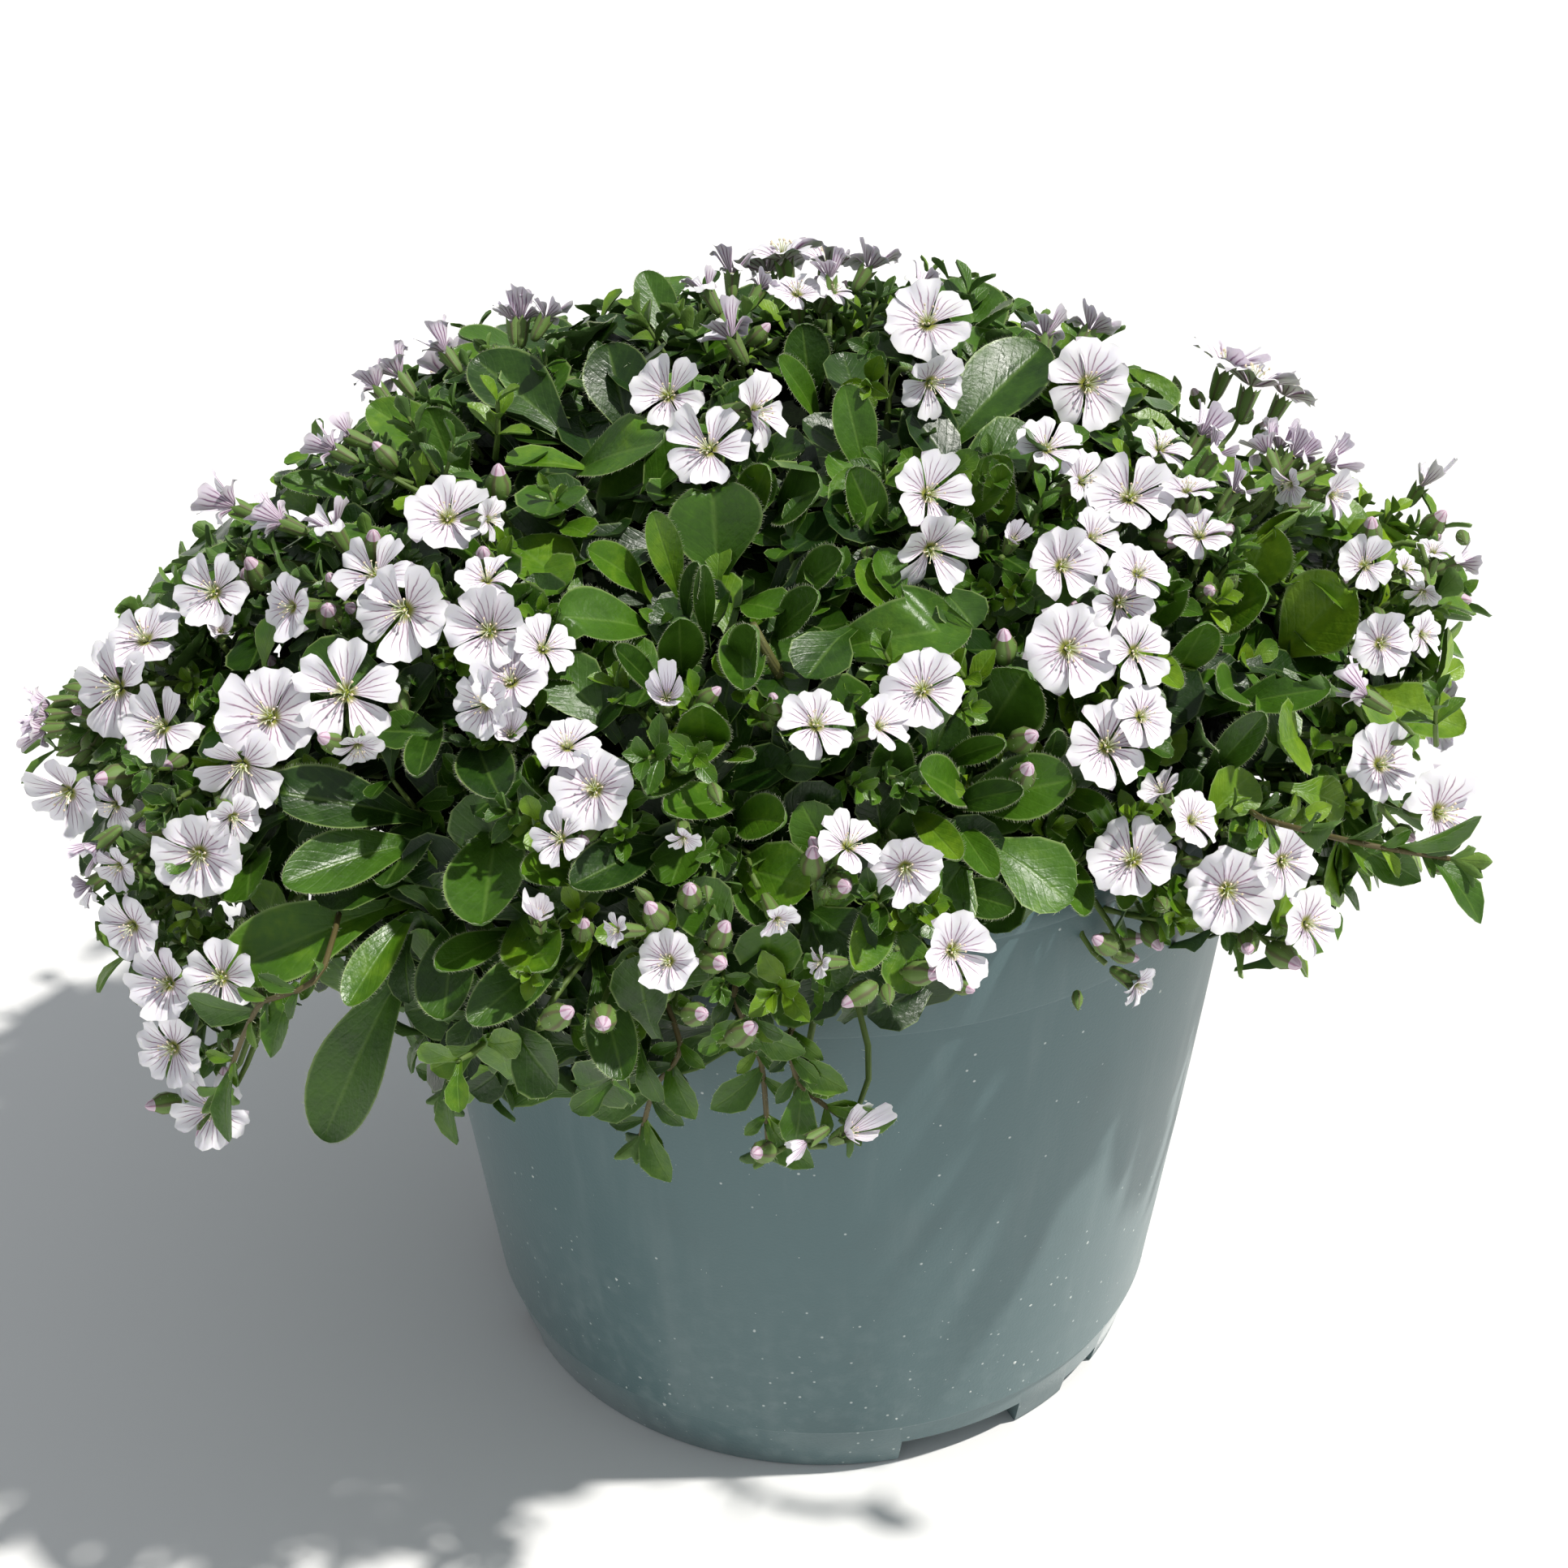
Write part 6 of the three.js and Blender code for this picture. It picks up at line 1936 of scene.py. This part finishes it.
@dataclass
class TrailingShoots:
    """The shoots that hang over the pot's rim."""

    finishes: Finishes
    maker: LeafyTemplates = field(default_factory=LeafyTemplates)
    root_radius: float = 0.5
    tip_radius: float = 0.36
    stem_tint: float = 0.05
    slack: float = 0.35
    steps: int = 5
    leaf_width: float = 5.2
    leaflet: float = 3.5
    tuft: int = 6
    seed: int = 50
    leaflet_seed: int = 300

    def route(self, azimuth: float, run: Sequence[tuple[float, float, float]]) -> list[Vector]:
        """Route of a shoot: up out of the soil, over the rim and down through its pixels."""
        start = [
            polar(azimuth, SOIL.shoot_radius, SOIL.level - SOIL.hole_depth + 1),
            polar(azimuth, SOIL.shoot_radius, SOIL.level + 2),
            polar(azimuth, POT.rim_radius - 4, SOIL.over_rim),
            polar(azimuth, POT.rim_radius + 2.5, SOIL.over_rim),
        ]
        return start + [self.cast_outside(x, y, out) for x, y, out in run]

    def cast_outside(self, x: float, y: float, out: float) -> Vector:
        """Where the line of sight through a pixel meets an upright surface outside the rim."""
        sight = VIEW.sight(x, y)
        for distance in np.arange(MOUND.near, MOUND.far, 0.5):
            point = VIEW.eye + sight * distance
            if math.hypot(point.x, point.y) <= POT.rim_radius + out:
                return point
        raise ValueError("the line of sight misses the pot")

    def smooth(self, route: Sequence[Vector]) -> list[Vector]:
        """Points of a rounded curve through a route."""
        path = []
        for i, (a, b) in enumerate(zip(route, route[1:])):
            before = route[max(i - 1, 0)]
            after = route[min(i + 2, len(route) - 1)]
            for t in [k / self.steps for k in range(self.steps)]:
                path.append((b - before) * self.slack * (t - 2 * t ** 2 + t ** 3)
                            + a * (1 - 3 * t ** 2 + 2 * t ** 3) + b * (3 * t ** 2 - 2 * t ** 3)
                            + (after - a) * self.slack * (t ** 3 - t ** 2))
        return path + [route[-1]]

    def build(self) -> None:
        """Makes each shoot as one piece: its stem, pairs of leaves and hairs."""
        for number, (degrees, run, leaves) in enumerate(TRAILING_SHOOTS):
            route = self.route(math.radians(degrees), run)
            path = self.smooth(route)
            radii = np.linspace(self.root_radius, self.tip_radius, len(path)).tolist()
            shape = Shape()
            shape.add_tube(path, radii, 8, Part.STEM, self.stem_tint)
            self.add_cad_leaves(shape, route, leaves, Draws(self.seed + number))
            self.add_small_leaves(shape, path, Draws(self.leaflet_seed + 1 + number))
            name = f"trailing_shoot_{number + 1}"
            hand_over(shape.piece(f"hanging_{name}", self.finishes.leaf), (name,))

    def add_cad_leaves(self, shape: Shape, route: list[Vector], count: int, draws: Draws) -> None:
        """Adds the leaves that the CAD solid holds."""
        for i in range(count):
            place = 4 + (i + 0.6) / count * (len(route) - 5)
            first = min(int(place), len(route) - 2)
            root = point_on(route, place)
            along = (route[first + 1] - route[first]).normalized()
            out = polar(math.atan2(root.y, root.x), 1.0)
            side = along.cross(out).normalized() * (1 if i % 2 else -1)
            tip = (root + side * (6 + 2 * draws.next()) + along * (4 + 3 * draws.next())
                   + out * (2 + 2 * draws.next()))
            shown = Draws(7 * i + 3)
            self.maker.add_leaf(shape, POINTED, (tip - root).length * 1.05, self.leaf_width,
                                basis(tip - root, out), root, shown, 7, shown.between(0.25, 0.75))

    def add_leaflet(self, shape: Shape, root: Vector, turn: Matrix, longest: float, palest: float,
                    draws: Draws) -> None:
        """Adds a small leaf of random length and shade.

        Args:
            shape: what takes the leaf.
            root: its root.
            turn: its turn, as basis gives it.
            longest: its greatest length.
            palest: its greatest tint.
            draws: random numbers for it.
        """
        length = draws.between(self.leaflet, longest)
        self.maker.add_leaf(shape, POINTED, length, length * 0.45, turn, root, draws, 4,
                            draws.between(palest - 0.5, palest))

    def add_small_leaves(self, shape: Shape, path: list[Vector], draws: Draws) -> None:
        """Adds pairs of small leaves down the hanging stretch, a tuft at its end, and hairs."""
        for i in range(len(path) // 2 + 3, len(path) - 1):
            spot = path[i]
            for _ in range(7):
                shape.add_stem_hair(spot, 0.35, 0.8, 1.1, draws)
            if i % 2:
                continue
            along = (path[i + 1] - spot).normalized()
            out = polar(math.atan2(spot.y, spot.x), 1.0)
            side = along.cross(out).normalized()
            for sign in (-1, 1):
                heading = side * sign + along * draws.between(0.4, 1.0) + out * draws.between(0.1, 0.6)
                self.add_leaflet(shape, spot, basis(heading, out + UP * 0.4), 6.0, 0.8, draws)
        along = (path[-1] - path[-2]).normalized()
        east = sideways(along)
        for k in range(self.tuft):
            heading = along + around(east, along.cross(east), k * GOLDEN) * 0.9
            self.add_leaflet(shape, path[-1], basis(heading, along), 6.5, 0.9, draws)


@dataclass
class NurseryPot:
    """The fine surface of the pot, and the dust on it."""

    finishes: Finishes
    bow: float = 0.25
    bow_heights: tuple[float, ...] = (12, 15, 18, 22, 27, 33, 40, 50, 62, 75, 86)
    sharp_angle: float = 32.0
    grains: int = 420
    grain_seed: int = 401

    def bowed_radius(self, z: float) -> float:
        """Radius of the wall at a height, with its slight bow."""
        return POT.wall_radius(z) + self.bow * math.sin(math.pi * (z - 9) / 84)

    def profile(self) -> list[tuple[float, float]]:
        """Radius and height of the pot's section, from the axis under the base round to the axis inside."""
        top, foot, rim = POT.height, POT.foot_height, POT.rim_radius
        collar = top - POT.collar_height
        lip = top - POT.lip_height
        step = rim - POT.collar_step
        plate_top = POT.plate_underside + POT.plate_thickness
        inner_foot = POT.foot_radius - POT.foot_ring
        inner_rim = rim - POT.wall
        wall_foot = POT.wall_radius(foot)
        return [(0.0, 0.0), (POT.pad_radius, 0.0), (POT.pad_radius + 1, POT.plate_underside),
                (inner_foot - 1, POT.plate_underside), (inner_foot, 0.0), (POT.foot_radius - 0.4, 0.0),
                (POT.foot_radius, 0.4), (wall_foot - 0.5, foot - 0.5), (wall_foot - 0.35, foot - 0.1),
                (wall_foot, foot + 0.2), *((self.bowed_radius(z), z) for z in self.bow_heights),
                (POT.wall_radius(collar), collar), (step - 0.1, collar + 0.25),
                (step, collar + POT.collar_step), (rim - 0.35, lip - 0.15), (rim - 0.1, lip),
                (rim, lip + 0.4), (rim, top - 0.5), (rim - 0.2, top - 0.12),
                (rim - 0.5, top), (inner_rim + 0.4, top), (inner_rim, top - 0.4),
                (POT.wall_radius(42) - POT.wall, 42.0),
                (POT.wall_radius(14) - POT.wall - 3, plate_top), (0.0, plate_top)]

    def body(self) -> bpy.types.Mesh:
        """The turned body, before its foot is notched and its base drilled."""
        (_, foot), *rings, (_, top) = self.profile()
        points = [Vector((0, 0, foot))]
        points += [polar(FULL_TURN * k / POT.segments, radius, z)
                   for radius, z in rings for k in range(POT.segments)]
        points.append(Vector((0, 0, top)))
        data = bpy.data.meshes.new("pot_body")
        data.from_pydata([tuple(p * MM) for p in points], [], turned_faces(len(rings), POT.segments))
        data.update()
        return data

    def cutters(self) -> Object:
        """Blocks for the foot's notches and rods for the drain holes, in one mesh."""
        shape = Shape(tinted=False)
        faces = ((0, 1, 3, 2), (4, 6, 7, 5), (0, 4, 5, 1), (2, 3, 7, 6), (0, 2, 6, 4), (1, 5, 7, 3))
        for turn in range(POT.foot_symmetry):
            for azimuth, width, height in POT.notches:
                angle = math.radians(azimuth + 360 / POT.foot_symmetry * turn)
                corners = [(x, y * width, z) for x in (POT.foot_radius - 7, POT.foot_radius + 7)
                           for y in (-0.5, 0.5) for z in (-2, height)]
                shape.add(placed(np.array(corners, float), Matrix.Rotation(angle, 3, "Z")), faces)
        for i in range(POT.hole_count):
            spot = polar(FULL_TURN * i / POT.hole_count, POT.hole_ring)
            shape.add_tube([spot + UP * 3, spot + UP * 12], [POT.hole_radius] * 2, 32)
        return linked("pot_cutters", shape.mesh("pot_cutters"))

    def build(self) -> None:
        """Makes the pot as one piece."""
        pot = linked("moulded_pot", self.body())
        cutters = self.cutters()
        cut = pot.modifiers.new("notches_and_holes", "BOOLEAN")
        cut.operation = "DIFFERENCE"
        cut.solver = "EXACT"
        cut.object = cutters
        depsgraph = bpy.context.evaluated_depsgraph_get()
        data = bpy.data.meshes.new_from_object(pot.evaluated_get(depsgraph), depsgraph=depsgraph)
        pot.modifiers.clear()
        pot.data = data
        bpy.data.objects.remove(cutters)
        data.shade_smooth()
        data.set_sharp_from_angle(angle=math.radians(self.sharp_angle))
        data.materials.clear()
        data.materials.append(self.finishes.plastic)
        hand_over(pot, ("pot",))

    def grain(self, draws: Draws) -> Shape:
        """A flat grain with five corners."""
        corners = [Vector((math.cos(k) * draws.between(0.6, 1), math.sin(k) * draws.between(0.5, 1), 0))
                   for k in (0.0, 1.2, 2.5, 3.8, 5.1)]
        faces = [(k, (k + 1) % 5, 5) for k in range(5)] + [((k + 1) % 5, k, 6) for k in range(5)]
        shape = Shape(tinted=False)
        shape.add([*corners, Vector((0.1, 0, 0.35)), Vector((0, 0, -0.3))], faces)
        return shape

    def dust(self) -> None:
        """Makes the larger grains of dust on the wall, denser towards the foot."""
        templates = Templates("grain_forms", [self.grain(Draws(self.grain_seed + k)) for k in range(3)])
        scatter = Scatter(wobble=0.0, seed=12)
        draws = Draws(404)
        for _ in range(self.grains):
            azimuth = draws.between(0, FULL_TURN)
            z = 10 + 80 * draws.next() ** 2.2
            size = 0.08 + 0.42 * draws.next() ** 8
            scatter.place(polar(azimuth, self.bowed_radius(z), z),
                          upright(polar(azimuth, 1.0), draws.next() * 6), size, draws.pick(3))
        scatter.build("pot_dust", templates, self.finishes.dust, "pot_plastic")
        templates.clear()


@dataclass
class PottingSoil:
    """The soil's rough surface and its crumbs."""

    finishes: Finishes
    sides: int = 96
    rings: int = 26
    crumbs_count: int = 700
    crumbs_radius: float = 61.0
    crumb_seed: int = 501

    def build(self) -> None:
        """Makes the soil block as one piece."""
        bottom = POT.plate_underside + POT.plate_thickness + SOIL.gap
        edge = POT.rim_radius - POT.wall - 1.2
        rings = [(POT.wall_radius(14) - POT.wall - SOIL.gap - 3.4, bottom, 0.0),
                 (POT.wall_radius(42) - POT.wall - SOIL.gap, 42.3, 0.0), (edge, SOIL.level - 1, 0.0)]
        rings += [(edge * share, SOIL.level + SOIL.dome * (1 - share), 1.0)
                  for share in np.linspace(0.99, 0.03, self.rings)]
        points = [Vector((0, 0, bottom))]
        for radius, z, rough in rings:
            for k in range(self.sides):
                point = polar(FULL_TURN * k / self.sides, radius, z)
                point.z += rough * (noise.noise(point * 0.35) * 0.9 + noise.noise(point * 1.1) * 0.5)
                points.append(point)
        points.append(Vector((0, 0, SOIL.level + SOIL.dome)))
        shape = Shape()
        shape.add(points, turned_faces(len(rings), self.sides))
        hand_over(shape.piece("soil_surface", self.finishes.soil), ("potting_soil",))

    def crumb(self, draws: Draws) -> Shape:
        """An uneven crumb with eight faces."""
        shape = Shape(tinted=False)
        shape.add([corner * draws.between(0.6, 1.2) for corner in drop_corners(0.8)], DROP_FACES)
        return shape

    def crumbs(self) -> None:
        """Makes the crumbs that lie on the soil."""
        templates = Templates("crumb_forms", [self.crumb(Draws(self.crumb_seed + k)) for k in range(3)])
        scatter = Scatter(wobble=80.0, seed=13)
        draws = Draws(504)
        for _ in range(self.crumbs_count):
            spot = polar(draws.between(0, FULL_TURN), self.crumbs_radius * math.sqrt(draws.next()))
            spot.z = SOIL.level + SOIL.dome * (1 - math.hypot(spot.x, spot.y) / (self.crumbs_radius + 1))
            scatter.place(spot, Matrix.Identity(3), draws.between(0.4, 1.5), draws.pick(3))
        scatter.build("soil_crumbs", templates, self.finishes.crumb, "soil")
        templates.clear()


@dataclass(frozen=True)
class Studio:
    """Plain pale floor and soft daylight from the upper right."""

    floor_size: float = 6.0
    floor_colour: Colour = (0.86, 0.86, 0.86)
    sun_from: tuple[float, float, float] = (0.5, -0.08, 0.86)
    sun_colour: Colour = (1.0, 0.97, 0.92)
    sun_strength: float = 3.6
    sun_width: float = math.radians(2)
    sky_colour: Colour = (0.92, 0.96, 1.0)
    sky_strength: float = 0.42

    def build(self) -> None:
        """Makes the floor, the world and the sun."""
        half = self.floor_size / 2
        data = bpy.data.meshes.new("floor")
        data.from_pydata([(-half, -half, 0), (half, -half, 0), (half, half, 0), (-half, half, 0)], [],
                         [(0, 1, 2, 3)])
        floor = linked("floor", data)
        material, net, shader = new_material("floor_pale")
        net.give(shader, {"Base Color": self.floor_colour, "Roughness": 0.8})
        data.materials.append(material)
        world = bpy.data.worlds.new("studio")
        world.use_nodes = True
        sky = Wiring(world.node_tree)
        sky.give(world.node_tree.nodes["Background"],
                 {"Color": self.sky_colour, "Strength": self.sky_strength})
        bpy.context.scene.world = world
        light = bpy.data.lights.new("sun", "SUN")
        light.energy = self.sun_strength
        light.angle = self.sun_width
        light.color = self.sun_colour
        sun = bpy.data.objects.new("sun", light)
        sun.rotation_euler = Vector(self.sun_from).to_track_quat("Z", "Y").to_euler()
        bpy.context.scene.collection.objects.link(sun)
        bpy.context.scene.view_settings.view_transform = "Standard"


def corners(bounds: tuple[Vector, Vector]) -> list[list[float]]:
    """Two corners as plain lists of numbers."""
    return [[round(value, 6) for value in corner] for corner in bounds]


def main() -> None:
    """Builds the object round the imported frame."""
    logging.basicConfig(level=logging.INFO, format="%(name)s: %(message)s")
    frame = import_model()
    VIEW.add_camera()
    Studio().build()
    finishes = Finishes()
    pot = NurseryPot(finishes)
    pot.build()
    pot.dust()
    soil = PottingSoil(finishes)
    soil.build()
    soil.crumbs()
    blooms = Blooms(frame["nodes"], finishes)
    foliage = Foliage(blooms, finishes)
    foliage.heart()
    foliage.large_leaves()
    foliage.layers()
    foliage.shoot_tips()
    blooms.petals()
    blooms.stamens()
    blooms.calyces()
    blooms.stalks()
    TrailingShoots(finishes).build()


if __name__ == "__main__":
    main()
